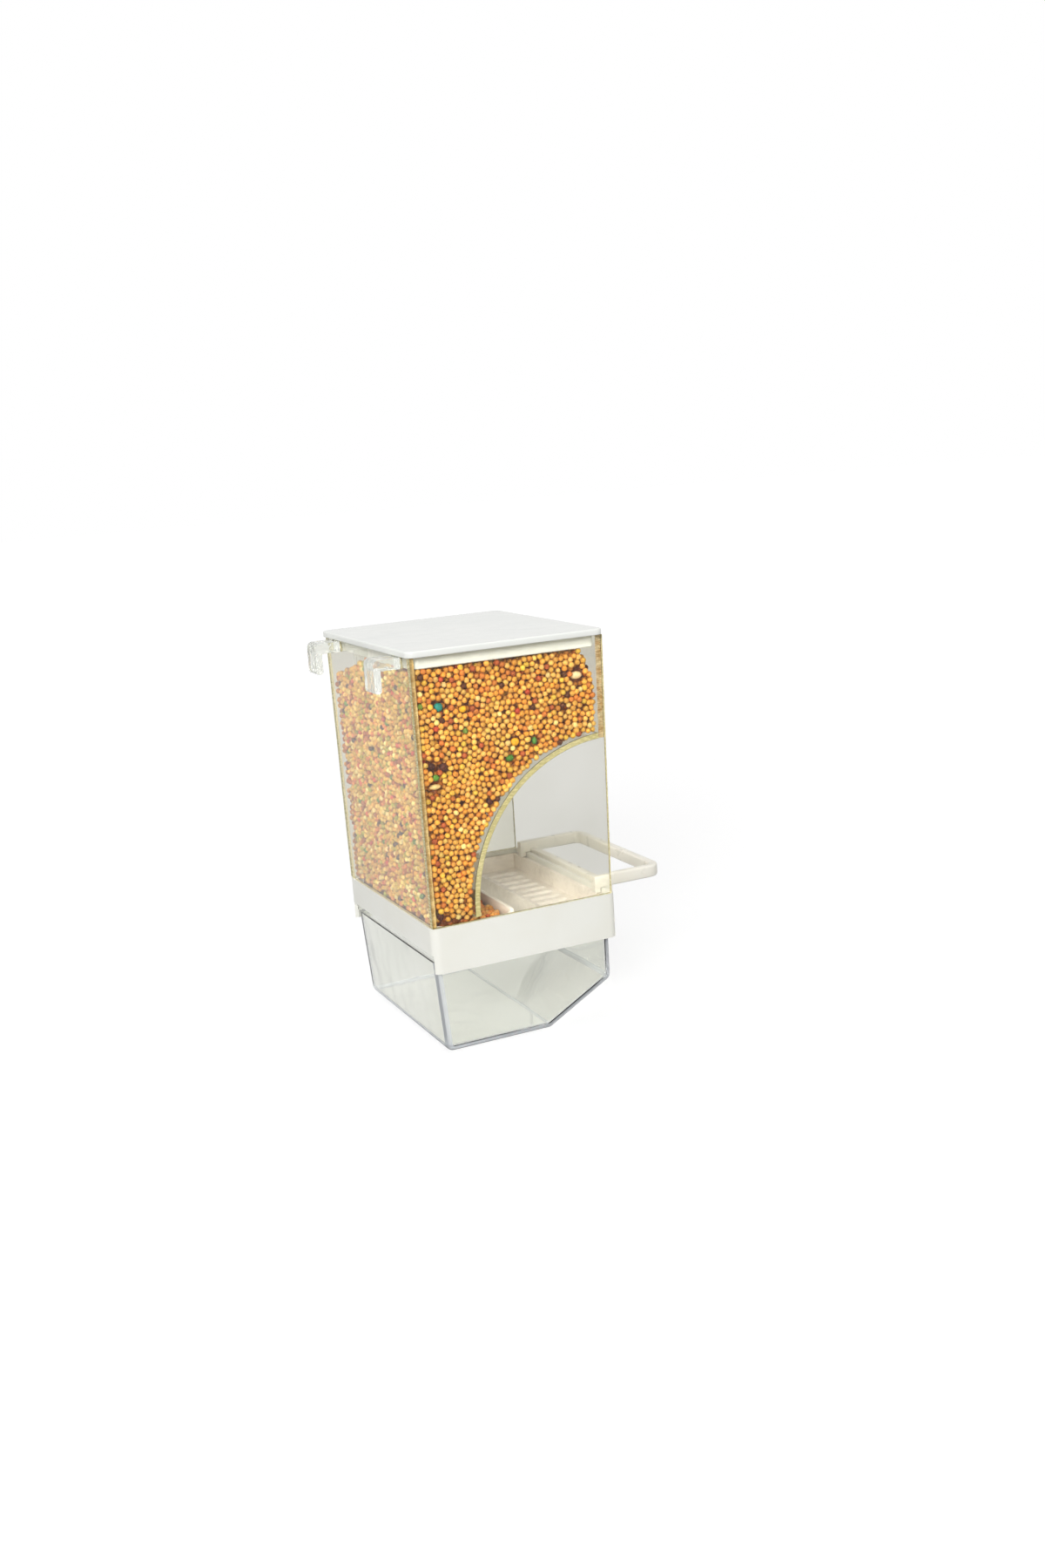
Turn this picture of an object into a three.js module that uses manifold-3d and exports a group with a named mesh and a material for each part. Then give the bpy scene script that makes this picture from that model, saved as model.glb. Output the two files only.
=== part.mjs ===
// Automatic bird feeder: a clear seed hopper that hangs on a cage by two hooks, with a feeding
// chamber under a curved baffle, a seed trough, a landing frame, and a husk drawer below.
// Millimetres. +Z up, +X from the hooks towards the landing frame, Y across.
// The pieces are placed from the middle of the base's top rim, and the whole feeder is then moved
// so that its origin lies midway between the hooks, on the underside of their arms.
import * as THREE from "three";
import { mergeVertices } from "three/addons/utils/BufferGeometryUtils.js";
import Module from "manifold-3d";

const wasm = await Module();
wasm.setup();

// Clearances
const clearance = 0.3; // between pieces that are cut, lean, slide or lift
const reach = 10; // how far a cutting block runs past what it cuts
const leastRadius = 0.2; // of an inside corner whose wall takes up the outside radius

// Facets
const cornerSegments = 8; // in each rounded corner
const bendSegments = 20; // in the baffle's bend
const edgeSegments = 3; // across the drawer's rounded edges

// Hopper of clear sheets
const hopperLength = 68.25; // outside, along X, at the top
const hopperWidth = 80; // outside, along Y, at the top
const hopperHeight = 88.7; // above the base's rim
const lengthTaper = 1.07; // how much further in each end wall stands at its foot
const widthTaper = 1; // the same for the side walls
const sheet = 2; // thickness of the clear sheet

// Feeding chamber and curved baffle
const chamberHeight = 54; // ceiling above the base's rim, and foot of the front wall
const baffleRadius = 50; // chamber side of the bend
const baffleFootX = -15.1; // chamber side of the baffle's straight foot
const baffleFootZ = 0.8; // the foot stops this far above the rim, so that seed runs under it

// Lid
const lidPlate = 2.1;
const lidOverBack = 1.15; // how far the plate stands out past the hopper's top, on each side
const lidOverFront = 0.15;
const lidOverSide = 1.4;
const lidCornerRadius = 3;
const flangeDepth = 4; // the flange hangs this far inside the hopper
const flangeWall = 1.5;
const lidLift = 40; // travel of the lid as it is lifted clear

// Hooks
const hookInset = 11.5; // from the hopper's side to the middle of each hook
const hookWidth = 9;
const hookGap = 7; // between the wall and the hook's leg, for the cage wire
const hookLeg = 2.5; // thickness of the leg
const hookDrop = 7.2; // how far the leg hangs below the arm
const hookArm = 3.7; // height of the arm
const hookTab = 6.5; // width of the tab that sits in the back wall's notch
const hookBend = 2; // outer radius where the arm turns into the leg

// Base frame
const baseProud = 0.5; // how far the frame stands out past the hopper's foot
const baseFlare = 1; // how much further it stands out at the perch end
const baseWall = 1.4;
const baseDepth = 15.5; // height of the side skirts and of the perch end
const backDepth = 9.3; // height of the short band over the drawer's panel
const baseCornerRadius = 3;
const ledge = 2; // width of the ledges that carry the trough and the grate
const ledgeHeight = 1.5;
const rail = 1.35; // how far the drawer's rails reach in from the skirts
const railHeight = 1.2;

// Seed trough and husk grate
const trayWall = 1.4;
const trayFloor = 1.5;
const trayDepth = 9; // overall height of the trough
const dividerX = -2.8; // chamber side of the trough's dividing wall
const troughCornerRadius = 4; // at the dividing wall
const troughBackRadius = 2;
const huskSlot = 11; // open slot between the dividing wall and the grate
const grateDrop = 1.8; // the grate's walls stop this far below the rim
const grateCornerRadius = 1.6;
const grateSlotWidth = 3;
const grateSlotPitch = 6;
const grateSlotMargin = 2.2; // solid floor left at each end of a slot

// Landing frame
const perchLength = 23.445; // how far it stands out from the base
const perchInset = 9; // from the hopper's side to the loop's side
const perchBar = 3;
const perchHeight = 4.3;
const perchInner = 3.4; // how far its arms reach in past the end wall
const perchInnerDrop = 1.5; // how far the arms' ends hang behind the end wall
const perchBackDrop = 2.5; // how far the rear bar hangs in front of the end wall
const perchBackRise = 1.5; // how far the rear bar stands above the rim
const perchCornerRadius = 5;
const perchBackRadius = 0.4; // at the loop's corners by the end wall

// Drawer
const drawerBottomZ = -44.3;
const drawerWall = 1.6;
const drawerBackLean = 2.6; // how much further in the panel stands at its foot
const drawerFlatLength = 38.6; // flat part of the bottom
const drawerNoseZ = -31.1; // where the sloping bottom meets the end wall
const drawerSideTaper = 0.4; // how much narrower the drawer is at its foot, on each side
const drawerEdgeRadius = 2.5;
const drawerRimDrop = 12.5; // the rim lies this far below the base's rim
const drawerFlange = 1.5; // height of the flange that runs on the rails
const panelDepth = 12; // height of the wide part of the panel that closes the frame's mouth
const drawerTravel = 55;

// Seed
const seedFrontFall = 7.125; // the heap falls away to the front over this length
const seedFrontDrop = 15.2; // where it meets the front wall, below the hopper's top
const seedFallY = 4; // the heap falls away to the right-hand wall from here
const seedSideDrop = 13.4; // where it meets that wall, below the hopper's top
const troughSeedDrop = 1.2; // the seed in the trough is lower by this at the dividing wall
const seedCornerRadius = 0.6; // at the trough's back corners

// Sizes that follow from these
const halfLength = hopperLength / 2;
const halfWidth = hopperWidth / 2;
const footLength = halfLength - lengthTaper;
const footWidth = halfWidth - widthTaper;
const baseBackX = -footLength - baseProud;
const baseFrontX = footLength + baseProud + baseFlare;
const baseHalfWidth = footWidth + baseProud;
const skirtInside = baseHalfWidth - baseWall;
const backInside = baseBackX + baseWall;
const endInside = baseFrontX - baseWall;
const trayHalfWidth = skirtInside - clearance;
const drawerHalfWidth = skirtInside - rail - clearance;
const panelTopX = backInside - clearance;
const panelTopZ = -backDepth - clearance;
const panelHeight = panelTopZ - drawerBottomZ;
const panelLean = drawerBackLean / panelHeight;
const railStartX = panelTopX + drawerWall + panelLean * (baseDepth + panelTopZ) + clearance;
const drawerEndX = endInside - clearance;
const drawerFootX = panelTopX + drawerBackLean;
const perchReach = baseFrontX + perchLength;
const perchWidth = hopperWidth - 2 * perchInset;
const seedShoulderX = halfLength - seedFrontFall;
const seedFrontZ = hopperHeight - seedFrontDrop;
const seedSideZ = hopperHeight - seedSideDrop;
const hookSpacing = hopperWidth - 2 * hookInset;
const hookMiddleX = -halfLength - hookGap / 2;
const hookSeatZ = hopperHeight - clearance - hookArm;

// Colours and finishes
const clearSheet = new THREE.MeshStandardMaterial({
  color: 0xe6efe6,
  roughness: 0.05,
  metalness: 0,
  transparent: true,
  opacity: 0.3,
});
const clearDrawer = new THREE.MeshStandardMaterial({
  color: 0xdfe4ea,
  roughness: 0.08,
  metalness: 0,
  transparent: true,
  opacity: 0.35,
});
const whitePlastic = new THREE.MeshStandardMaterial({ color: 0xf1f1ec, roughness: 0.35, metalness: 0 });
const glossWhite = new THREE.MeshStandardMaterial({ color: 0xf6f6f4, roughness: 0.12, metalness: 0 });
const millet = new THREE.MeshStandardMaterial({ color: 0xd9922f, roughness: 0.7, metalness: 0 });

// How far in a wall stands at height z, as a share of its taper
function inwards(z) {
  return 1 - z / hopperHeight;
}

// Inside faces of the two end walls at height z
function insideX(z) {
  return halfLength - sheet - lengthTaper * inwards(z);
}

// Inside faces of the side walls at height z
function insideY(z) {
  return halfWidth - sheet - widthTaper * inwards(z);
}

// Box between two corners
function block(x0, x1, y0, y1, z0, z1) {
  const geometry = new THREE.BoxGeometry(x1 - x0, y1 - y0, z1 - z0);
  return geometry.translate((x0 + x1) / 2, (y0 + y1) / 2, (z0 + z1) / 2);
}

// Outline in the XY plane, raised from z0 to z1
function plate(shape, z0, z1) {
  const options = { depth: z1 - z0, bevelEnabled: false, curveSegments: cornerSegments };
  return new THREE.ExtrudeGeometry(shape, options).translate(0, 0, z0);
}

// Outline in the XZ plane, carried across from y0 to y1
function section(shape, y0, y1, curveSegments = cornerSegments) {
  const options = { depth: y1 - y0, bevelEnabled: false, curveSegments };
  return new THREE.ExtrudeGeometry(shape, options).rotateX(Math.PI / 2).translate(0, y1, 0);
}

// Closed outline through the points of a list
function outline(points) {
  return new THREE.Shape(points.map(([x, z]) => new THREE.Vector2(x, z)));
}

// Rectangle with one radius at its -X corners and one at its +X corners
function roundedRectangle(x0, x1, y0, y1, backRadius, frontRadius) {
  const shape = new THREE.Shape();
  shape.moveTo(x0 + backRadius, y0);
  shape.lineTo(x1 - frontRadius, y0);
  shape.absarc(x1 - frontRadius, y0 + frontRadius, frontRadius, -Math.PI / 2, 0, false);
  shape.lineTo(x1, y1 - frontRadius);
  shape.absarc(x1 - frontRadius, y1 - frontRadius, frontRadius, 0, Math.PI / 2, false);
  shape.lineTo(x0 + backRadius, y1);
  shape.absarc(x0 + backRadius, y1 - backRadius, backRadius, Math.PI / 2, Math.PI, false);
  shape.lineTo(x0, y0 + backRadius);
  shape.absarc(x0 + backRadius, y0 + backRadius, backRadius, Math.PI, 1.5 * Math.PI, false);
  return shape;
}

// Moves each point across by a function of its place
function reshape(geometry, across) {
  const place = geometry.getAttribute("position");
  for (let i = 0; i < place.count; i++) {
    place.setY(i, across(place.getX(i), place.getY(i), place.getZ(i)));
  }
  return geometry;
}

// Narrows a piece that spans the hopper as its side walls close in towards the foot
function followSideWalls(geometry) {
  return reshape(geometry, (x, y, z) => (y * insideY(z)) / insideY(hopperHeight));
}

// Closed geometry as a solid, for joining and cutting
function solid(geometry) {
  const bare = new THREE.BufferGeometry();
  bare.setAttribute("position", geometry.getAttribute("position"));
  if (geometry.index) bare.setIndex(geometry.index);
  const merged = mergeVertices(bare, 1e-4);
  const vertProperties = merged.getAttribute("position").array;
  const triVerts = new Uint32Array(merged.index.array);
  return new wasm.Manifold(new wasm.Mesh({ numProp: 3, vertProperties, triVerts }));
}

// Solid back to a geometry
function geometryOf(body) {
  const mesh = body.getMesh();
  const geometry = new THREE.BufferGeometry();
  geometry.setAttribute("position", new THREE.BufferAttribute(new Float32Array(mesh.vertProperties), 3));
  geometry.setIndex(new THREE.BufferAttribute(new Uint32Array(mesh.triVerts), 1));
  geometry.computeVertexNormals();
  return geometry;
}

function joined(...geometries) {
  return geometryOf(geometries.map(solid).reduce((all, next) => all.add(next)));
}

function cut(geometry, ...cutters) {
  return geometryOf(cutters.map(solid).reduce((rest, next) => rest.subtract(next), solid(geometry)));
}

function common(geometry, other) {
  return geometryOf(solid(geometry).intersect(solid(other)));
}

const feeder = new THREE.Group();
feeder.position.set(-hookMiddleX, 0, -hookSeatZ);

function add(name, geometry, material, group = feeder) {
  const mesh = new THREE.Mesh(geometry, material);
  mesh.name = name;
  group.add(mesh);
  return mesh;
}

// Clear side walls: full height and full length, leaning in towards the foot
function sideWall(side) {
  const face = outline([
    [-footLength, 0],
    [footLength, 0],
    [halfLength, hopperHeight],
    [-halfLength, hopperHeight],
  ]);
  const [low, high] = [side * halfWidth, side * (halfWidth - sheet)].sort((a, b) => a - b);
  const upright = section(face, low, high);
  return reshape(upright, (x, y, z) => y - side * widthTaper * inwards(z));
}

// Back wall with a notch in its top edge for each hook's tab
function backWall() {
  const sheetSection = outline([
    [-footLength, 0],
    [-footLength + sheet, 0],
    [-halfLength + sheet, hopperHeight],
    [-halfLength, hopperHeight],
  ]);
  const wall = followSideWalls(section(sheetSection, -insideY(hopperHeight), insideY(hopperHeight)));
  const notches = [-1, 1].map((side) => {
    const middle = (side * hookSpacing) / 2;
    const half = hookTab / 2 + clearance;
    return block(-halfLength - reach, 0, middle - half, middle + half, hookSeatZ, hopperHeight + reach);
  });
  return cut(wall, ...notches);
}

// Front wall above the chamber
function frontWall() {
  const wallSection = outline([
    [insideX(chamberHeight), chamberHeight],
    [insideX(chamberHeight) + sheet, chamberHeight],
    [halfLength, hopperHeight],
    [halfLength - sheet, hopperHeight],
  ]);
  return followSideWalls(section(wallSection, -insideY(hopperHeight), insideY(hopperHeight)));
}

const bendX = baffleFootX + baffleRadius;
const bendZ = chamberHeight - baffleRadius;

// Angle at which a bend of the given radius rises past height z
function bendStart(radius, z) {
  return Math.PI - Math.asin(Math.max(0, z - bendZ) / radius);
}

// Where the foot of such a bend lies at height z
function bendFootX(radius, z) {
  return bendX + radius * Math.cos(bendStart(radius, z));
}

// Angle at which a bend of the given radius reaches the front wall
function bendEnd(radius, wallX) {
  return Math.acos(Math.max(-1, Math.min(0, (wallX - bendX) / radius)));
}

// Curved baffle: straight foot, quarter bend, and its upper edge against the front wall
function curvedBaffle() {
  const wallX = insideX(chamberHeight);
  const outer = baffleRadius + sheet;
  const shape = new THREE.Shape();
  const innerStart = bendStart(baffleRadius, baffleFootZ);
  shape.moveTo(bendFootX(outer, baffleFootZ), baffleFootZ);
  shape.lineTo(bendFootX(baffleRadius, baffleFootZ), baffleFootZ);
  shape.absarc(bendX, bendZ, baffleRadius, innerStart, bendEnd(baffleRadius, wallX), true);
  shape.lineTo(wallX, bendZ + baffleRadius * Math.sin(bendEnd(baffleRadius, wallX)));
  shape.lineTo(wallX, bendZ + outer * Math.sin(bendEnd(outer, wallX)));
  shape.absarc(bendX, bendZ, outer, bendEnd(outer, wallX), bendStart(outer, baffleFootZ), false);
  const half = insideY(hopperHeight);
  return followSideWalls(section(shape, -half, half, bendSegments));
}

// Hook: tab in the wall's notch, arm, and a leg that hangs behind the cage wire
function hook(side) {
  const legX = -halfLength - hookGap;
  const outerX = legX - hookLeg;
  const topZ = hookSeatZ + hookArm;
  const tipZ = hookSeatZ - hookDrop;
  const shape = new THREE.Shape();
  shape.moveTo(-halfLength - clearance, hookSeatZ);
  shape.lineTo(-halfLength - clearance, topZ);
  shape.lineTo(outerX + hookBend, topZ);
  shape.absarc(outerX + hookBend, topZ - hookBend, hookBend, Math.PI / 2, Math.PI, false);
  shape.lineTo(outerX, tipZ + hookLeg / 2);
  shape.absarc(outerX + hookLeg / 2, tipZ + hookLeg / 2, hookLeg / 2, Math.PI, 2 * Math.PI, false);
  shape.lineTo(legX, hookSeatZ);
  const body = section(shape, -hookWidth / 2, hookWidth / 2);
  const tabEndX = -halfLength + sheet - clearance;
  const tab = block(-halfLength - hookLeg, tabEndX, -hookTab / 2, hookTab / 2, hookSeatZ, topZ);
  return joined(body, tab).translate(0, (side * hookSpacing) / 2, 0);
}

// Lid: plate with a flange that drops inside the four walls
function lid() {
  const top = roundedRectangle(
    -halfLength - lidOverBack,
    halfLength + lidOverFront,
    -halfWidth - lidOverSide,
    halfWidth + lidOverSide,
    lidCornerRadius,
    lidCornerRadius,
  );
  const low = hopperHeight - flangeDepth;
  const x = insideX(low) - clearance;
  const y = insideY(low) - clearance;
  const ring = roundedRectangle(-x, x, -y, y, flangeWall, flangeWall);
  const hollowX = x - flangeWall;
  const hollowY = y - flangeWall;
  const hollow = block(-hollowX, hollowX, -hollowY, hollowY, low - reach, hopperHeight);
  const flange = cut(plate(ring, low, hopperHeight + lidPlate / 2), hollow);
  return joined(plate(top, hopperHeight, hopperHeight + lidPlate), flange);
}

// Base frame: skirts, the short band over the drawer's panel, ledges and rails
function baseFrame() {
  const inner = Math.max(baseCornerRadius - baseWall, leastRadius);
  const outside = roundedRectangle(
    baseBackX,
    baseFrontX,
    -baseHalfWidth,
    baseHalfWidth,
    baseCornerRadius,
    baseCornerRadius,
  );
  const inside = roundedRectangle(backInside, endInside, -skirtInside, skirtInside, inner, inner);
  const ring = cut(plate(outside, -baseDepth, 0), plate(inside, -baseDepth - reach, reach));
  const mouthTop = -backDepth;
  const mouth = block(
    baseBackX - reach,
    backInside + inner,
    -skirtInside,
    skirtInside,
    -baseDepth - reach,
    mouthTop,
  );
  const overlap = baseWall / 2;
  const ledgeTop = -trayDepth;
  const shelves = [-1, 1].flatMap((side) => {
    const root = side * (skirtInside + overlap);
    const [ledgeLow, ledgeHigh] = [side * (skirtInside - ledge), root].sort((a, b) => a - b);
    const [railLow, railHigh] = [side * (skirtInside - rail), root].sort((a, b) => a - b);
    return [
      block(railStartX, endInside + overlap, ledgeLow, ledgeHigh, ledgeTop - ledgeHeight, ledgeTop),
      block(railStartX, endInside + overlap, railLow, railHigh, -baseDepth, -baseDepth + railHeight),
    ];
  });
  const endLedge = block(
    endInside - ledge,
    endInside + overlap,
    -skirtInside,
    skirtInside,
    ledgeTop - ledgeHeight,
    ledgeTop,
  );
  return joined(cut(ring, mouth), ...shelves, endLedge);
}

// Open tray with a floor, walls and rounded corners
function tray(x0, x1, topZ, backRadius, frontRadius) {
  const outside = roundedRectangle(x0, x1, -trayHalfWidth, trayHalfWidth, backRadius, frontRadius);
  const y = trayHalfWidth - trayWall;
  const innerBack = Math.max(backRadius - trayWall, leastRadius);
  const innerFront = Math.max(frontRadius - trayWall, leastRadius);
  const inside = roundedRectangle(x0 + trayWall, x1 - trayWall, -y, y, innerBack, innerFront);
  const floorZ = -trayDepth + trayFloor;
  return cut(plate(outside, -trayDepth, topZ), plate(inside, floorZ, reach));
}

// Seed trough under the baffle
function seedTrough() {
  return tray(backInside + clearance, dividerX, 0, troughBackRadius, troughCornerRadius);
}

// Slotted tray between the husk slot and the perch end
function huskGrate() {
  const x0 = dividerX + huskSlot;
  const x1 = endInside - clearance;
  const radius = grateSlotWidth / 2;
  const slotStart = x0 + trayWall + grateSlotMargin;
  const slotEnd = x1 - trayWall - grateSlotMargin;
  const room = trayHalfWidth - trayWall - grateSlotMargin - radius;
  const each = Math.floor(room / grateSlotPitch);
  const slots = [];
  for (let i = -each; i <= each; i++) {
    const y = i * grateSlotPitch;
    const hole = roundedRectangle(slotStart, slotEnd, y - radius, y + radius, radius, radius);
    slots.push(plate(hole, -trayDepth - reach, reach));
  }
  return cut(tray(x0, x1, -grateDrop, grateCornerRadius, grateCornerRadius), ...slots);
}

// Landing frame: open loop whose arms reach in over the end wall and clip behind it
function perchFrame() {
  const backX = baseFrontX + clearance;
  const half = perchWidth / 2;
  const barInside = backX + perchBar;
  const innerRadius = Math.max(perchCornerRadius - perchBar, leastRadius);
  const loop = roundedRectangle(backX, perchReach, -half, half, perchBackRadius, perchCornerRadius);
  const windowY = half - perchBar;
  const window = roundedRectangle(
    barInside,
    perchReach - perchBar,
    -windowY,
    windowY,
    perchBackRadius,
    innerRadius,
  );
  const ring = cut(plate(loop, 0, perchHeight), plate(window, -reach, perchHeight + reach));
  const notchTop = perchHeight + reach;
  const notch = block(backX - reach, barInside + perchBar, -windowY, windowY, perchBackRise, notchTop);
  const rearBar = block(backX, barInside, -half, half, -perchBackDrop, perchBackRise);
  const arms = [-1, 1].flatMap((side) => {
    const [low, high] = [side * windowY, side * half].sort((a, b) => a - b);
    const tipX = endInside - clearance - perchInner;
    return [
      block(tipX, barInside, low, high, 0, perchHeight),
      block(tipX, endInside - clearance, low, high, -perchInnerDrop, perchHeight / 2),
    ];
  });
  return joined(cut(ring, notch), rearBar, ...arms);
}

// Half width of the drawer's sides at height z
function drawerSide(z) {
  return drawerHalfWidth - (drawerSideTaper * (-drawerRimDrop - z)) / (-drawerRimDrop - drawerBottomZ);
}

// Body of the drawer, shrunk on every side by the wall when it is the hollow inside
function drawerBody(wall, topZ) {
  const round = Math.max(drawerEdgeRadius - wall, leastRadius);
  const slope = Math.atan2(drawerNoseZ - drawerBottomZ, drawerEndX - drawerFootX - drawerFlatLength);
  const bottom = drawerBottomZ + wall;
  const end = drawerEndX - wall;
  const kink = drawerFootX + drawerFlatLength - wall * Math.tan(slope / 2);
  const nose = bottom + (end - kink) * Math.tan(slope);
  const back = (z) => panelTopX + wall + panelLean * (panelTopZ - z);
  const shape = outline([
    [back(bottom) + round, bottom + round],
    [kink, bottom + round],
    [end - round, nose + round],
    [end - round, topZ + reach],
    [back(topZ) + round - panelLean * reach, topZ + reach],
  ]);
  const half = drawerHalfWidth - wall;
  const options = {
    depth: 2 * (half - round),
    bevelEnabled: true,
    bevelThickness: round,
    bevelSize: round,
    bevelSegments: edgeSegments,
    curveSegments: cornerSegments,
  };
  const body = new THREE.ExtrudeGeometry(shape, options).rotateX(Math.PI / 2).translate(0, half - round, 0);
  return reshape(body, (x, y, z) => (y * drawerSide(z)) / drawerHalfWidth);
}

// Drawer: tub with a sloping nose, a flange on the rails, and a panel that closes the mouth
function drawer() {
  const rimZ = -drawerRimDrop;
  const far = hopperLength;
  const belowRim = block(-far, far, -far, far, drawerBottomZ - reach, rimZ);
  const tub = common(drawerBody(0, rimZ), belowRim);
  const hollow = drawerBody(drawerWall, rimZ);
  const flangeX = railStartX;
  const flangeY = skirtInside - clearance;
  const flanges = [-1, 1].map((side) => {
    const [low, high] = [side * (drawerHalfWidth - drawerWall), side * flangeY].sort((a, b) => a - b);
    return block(flangeX, drawerEndX - drawerEdgeRadius, low, high, rimZ - drawerFlange, rimZ);
  });
  const panelFootZ = panelTopZ - panelDepth;
  const panelFace = outline([
    [panelTopX, panelTopZ],
    [panelTopX + panelLean * panelDepth, panelFootZ],
    [panelTopX + panelLean * panelDepth + drawerWall, panelFootZ],
    [panelTopX + drawerWall, panelTopZ],
  ]);
  const panelHalf = skirtInside - clearance;
  const panelFoot = drawerSide(panelFootZ) - drawerEdgeRadius / 2;
  const panel = reshape(section(panelFace, -1, 1), (x, y, z) => {
    const rise = (z - panelFootZ) / (panelTopZ - panelFootZ);
    return y * (panelFoot + (panelHalf - panelFoot) * rise);
  });
  return joined(cut(joined(tub, ...flanges), hollow), panel);
}

// Heap of seed inside the hopper, resting on the seed in the trough
function seedInHopper() {
  const top = hopperHeight - flangeDepth - clearance;
  const backX = (z) => -insideX(z) + clearance;
  const frontX = (z) => insideX(z) - clearance;
  const radius = baffleRadius + sheet + clearance;
  const wallX = frontX(chamberHeight);
  const end = bendEnd(radius, wallX);
  const shape = new THREE.Shape();
  shape.moveTo(backX(0), 0);
  shape.lineTo(bendFootX(radius, 0), 0);
  shape.absarc(bendX, bendZ, radius, bendStart(radius, 0), end, true);
  shape.lineTo(wallX, bendZ + radius * Math.sin(end));
  shape.lineTo(frontX(seedFrontZ), seedFrontZ);
  shape.lineTo(seedShoulderX, top);
  shape.lineTo(backX(top), top);
  const half = insideY(hopperHeight) - clearance;
  const heap = followSideWalls(section(shape, -half, half, bendSegments));
  const fall = new THREE.Shape([
    new THREE.Vector2(seedFallY, top),
    new THREE.Vector2(insideY(seedSideZ), seedSideZ),
    new THREE.Vector2(insideY(seedSideZ) + reach, seedSideZ),
    new THREE.Vector2(insideY(seedSideZ) + reach, top + reach),
    new THREE.Vector2(seedFallY, top + reach),
  ]);
  const options = { depth: 2 * hopperLength, bevelEnabled: false };
  const wedge = new THREE.ExtrudeGeometry(fall, options)
    .rotateX(Math.PI / 2)
    .rotateZ(Math.PI / 2)
    .translate(-hopperLength, 0, 0);
  return cut(heap, wedge);
}

// Seed in the trough, part of it in the open behind the baffle
function seedInTrough() {
  const x0 = backInside + clearance + trayWall + clearance;
  const x1 = dividerX - trayWall - clearance;
  const floorZ = -trayDepth + trayFloor;
  const shape = outline([
    [x0, floorZ],
    [x1, floorZ],
    [x1, -troughSeedDrop],
    [baffleFootX, 0],
    [x0, 0],
  ]);
  const half = trayHalfWidth - trayWall - clearance;
  const round = Math.max(troughCornerRadius - trayWall - clearance, leastRadius);
  const plan = roundedRectangle(x0, x1, -half, half, seedCornerRadius, round);
  return common(section(shape, -half, half), plate(plan, floorZ - reach, reach));
}

add("base_frame", baseFrame(), whitePlastic);
add("seed_trough", seedTrough(), whitePlastic);
add("husk_grate", huskGrate(), whitePlastic);
add("perch_frame", perchFrame(), whitePlastic);
add("back_wall", backWall(), clearSheet);
add("side_wall_left", sideWall(-1), clearSheet);
add("side_wall_right", sideWall(1), clearSheet);
add("front_wall", frontWall(), clearSheet);
add("curved_baffle", curvedBaffle(), clearSheet);
add("hook_left", hook(-1), clearSheet);
add("hook_right", hook(1), clearSheet);
add("seed_fill_trough", seedInTrough(), millet);
add("seed_fill_hopper", seedInHopper(), millet);

const lidGroup = new THREE.Group();
lidGroup.userData.liftsUp = lidLift;
feeder.add(lidGroup);
add("lid", lid(), glossWhite, lidGroup);

const drawerGroup = new THREE.Group();
drawerGroup.userData.slidesBack = drawerTravel;
feeder.add(drawerGroup);
add("drawer", drawer(), clearDrawer, drawerGroup);

export default feeder;
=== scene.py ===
import math

import bmesh
import bpy
import numpy as np
from mathutils import Matrix, Vector


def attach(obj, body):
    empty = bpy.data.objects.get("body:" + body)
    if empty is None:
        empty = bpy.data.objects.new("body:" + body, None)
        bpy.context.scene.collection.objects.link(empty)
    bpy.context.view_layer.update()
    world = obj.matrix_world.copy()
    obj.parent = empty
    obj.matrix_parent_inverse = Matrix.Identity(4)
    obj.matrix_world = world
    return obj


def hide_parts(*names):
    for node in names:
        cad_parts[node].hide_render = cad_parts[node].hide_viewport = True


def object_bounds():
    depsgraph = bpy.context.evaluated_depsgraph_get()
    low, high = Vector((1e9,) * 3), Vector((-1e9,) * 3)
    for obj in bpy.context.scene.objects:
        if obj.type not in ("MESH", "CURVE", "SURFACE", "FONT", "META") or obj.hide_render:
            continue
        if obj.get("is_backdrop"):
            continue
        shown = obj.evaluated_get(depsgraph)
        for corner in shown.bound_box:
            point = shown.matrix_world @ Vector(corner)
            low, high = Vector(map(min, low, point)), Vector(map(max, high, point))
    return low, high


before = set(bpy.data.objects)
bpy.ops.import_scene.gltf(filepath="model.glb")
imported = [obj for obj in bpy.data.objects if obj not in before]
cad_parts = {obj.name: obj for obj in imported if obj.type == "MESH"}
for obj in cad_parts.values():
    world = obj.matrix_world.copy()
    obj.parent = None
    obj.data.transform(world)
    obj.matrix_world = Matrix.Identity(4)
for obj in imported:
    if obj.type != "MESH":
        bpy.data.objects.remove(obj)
cad_low, cad_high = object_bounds()


# Base frame: one injection moulding of white plastic that the clear hopper stands on. Its skirts are
# deep on three sides and short over the drawer's panel, so that the drawer can be pulled out there.
# Lips inside it carry the trough and the grate, and two low rails carry the drawer.
rim_middle = np.array([0.037625, 0.0, -0.0847])  # middle of the base's top rim, in metres
base_back, base_front, base_side = -33.555, 34.555, 39.5
base_wall, base_depth, band_depth, base_corner = 1.4, 15.5, 9.3, 3.0
rail_start, rail_width, rail_height = -29.42, 1.35, 1.2
lip_width, lip_top, lip_height = 2.0, -9.0, 1.5
corner_steps = 8  # faces round a quarter turn of a moulding's corner


def joined(*parts):
    """Coordinates joined to points: x, y and z along the last axis."""
    return np.stack(np.broadcast_arrays(*parts), -1)


def corner_turns(steps):
    """Angles round a rounded rectangle: four quarter turns of steps + 1 angles, from the +X +Y corner."""
    quarter = np.linspace(0, math.pi / 2, steps + 1)
    return (quarter + np.arange(4)[:, None] * math.pi / 2).ravel()


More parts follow.
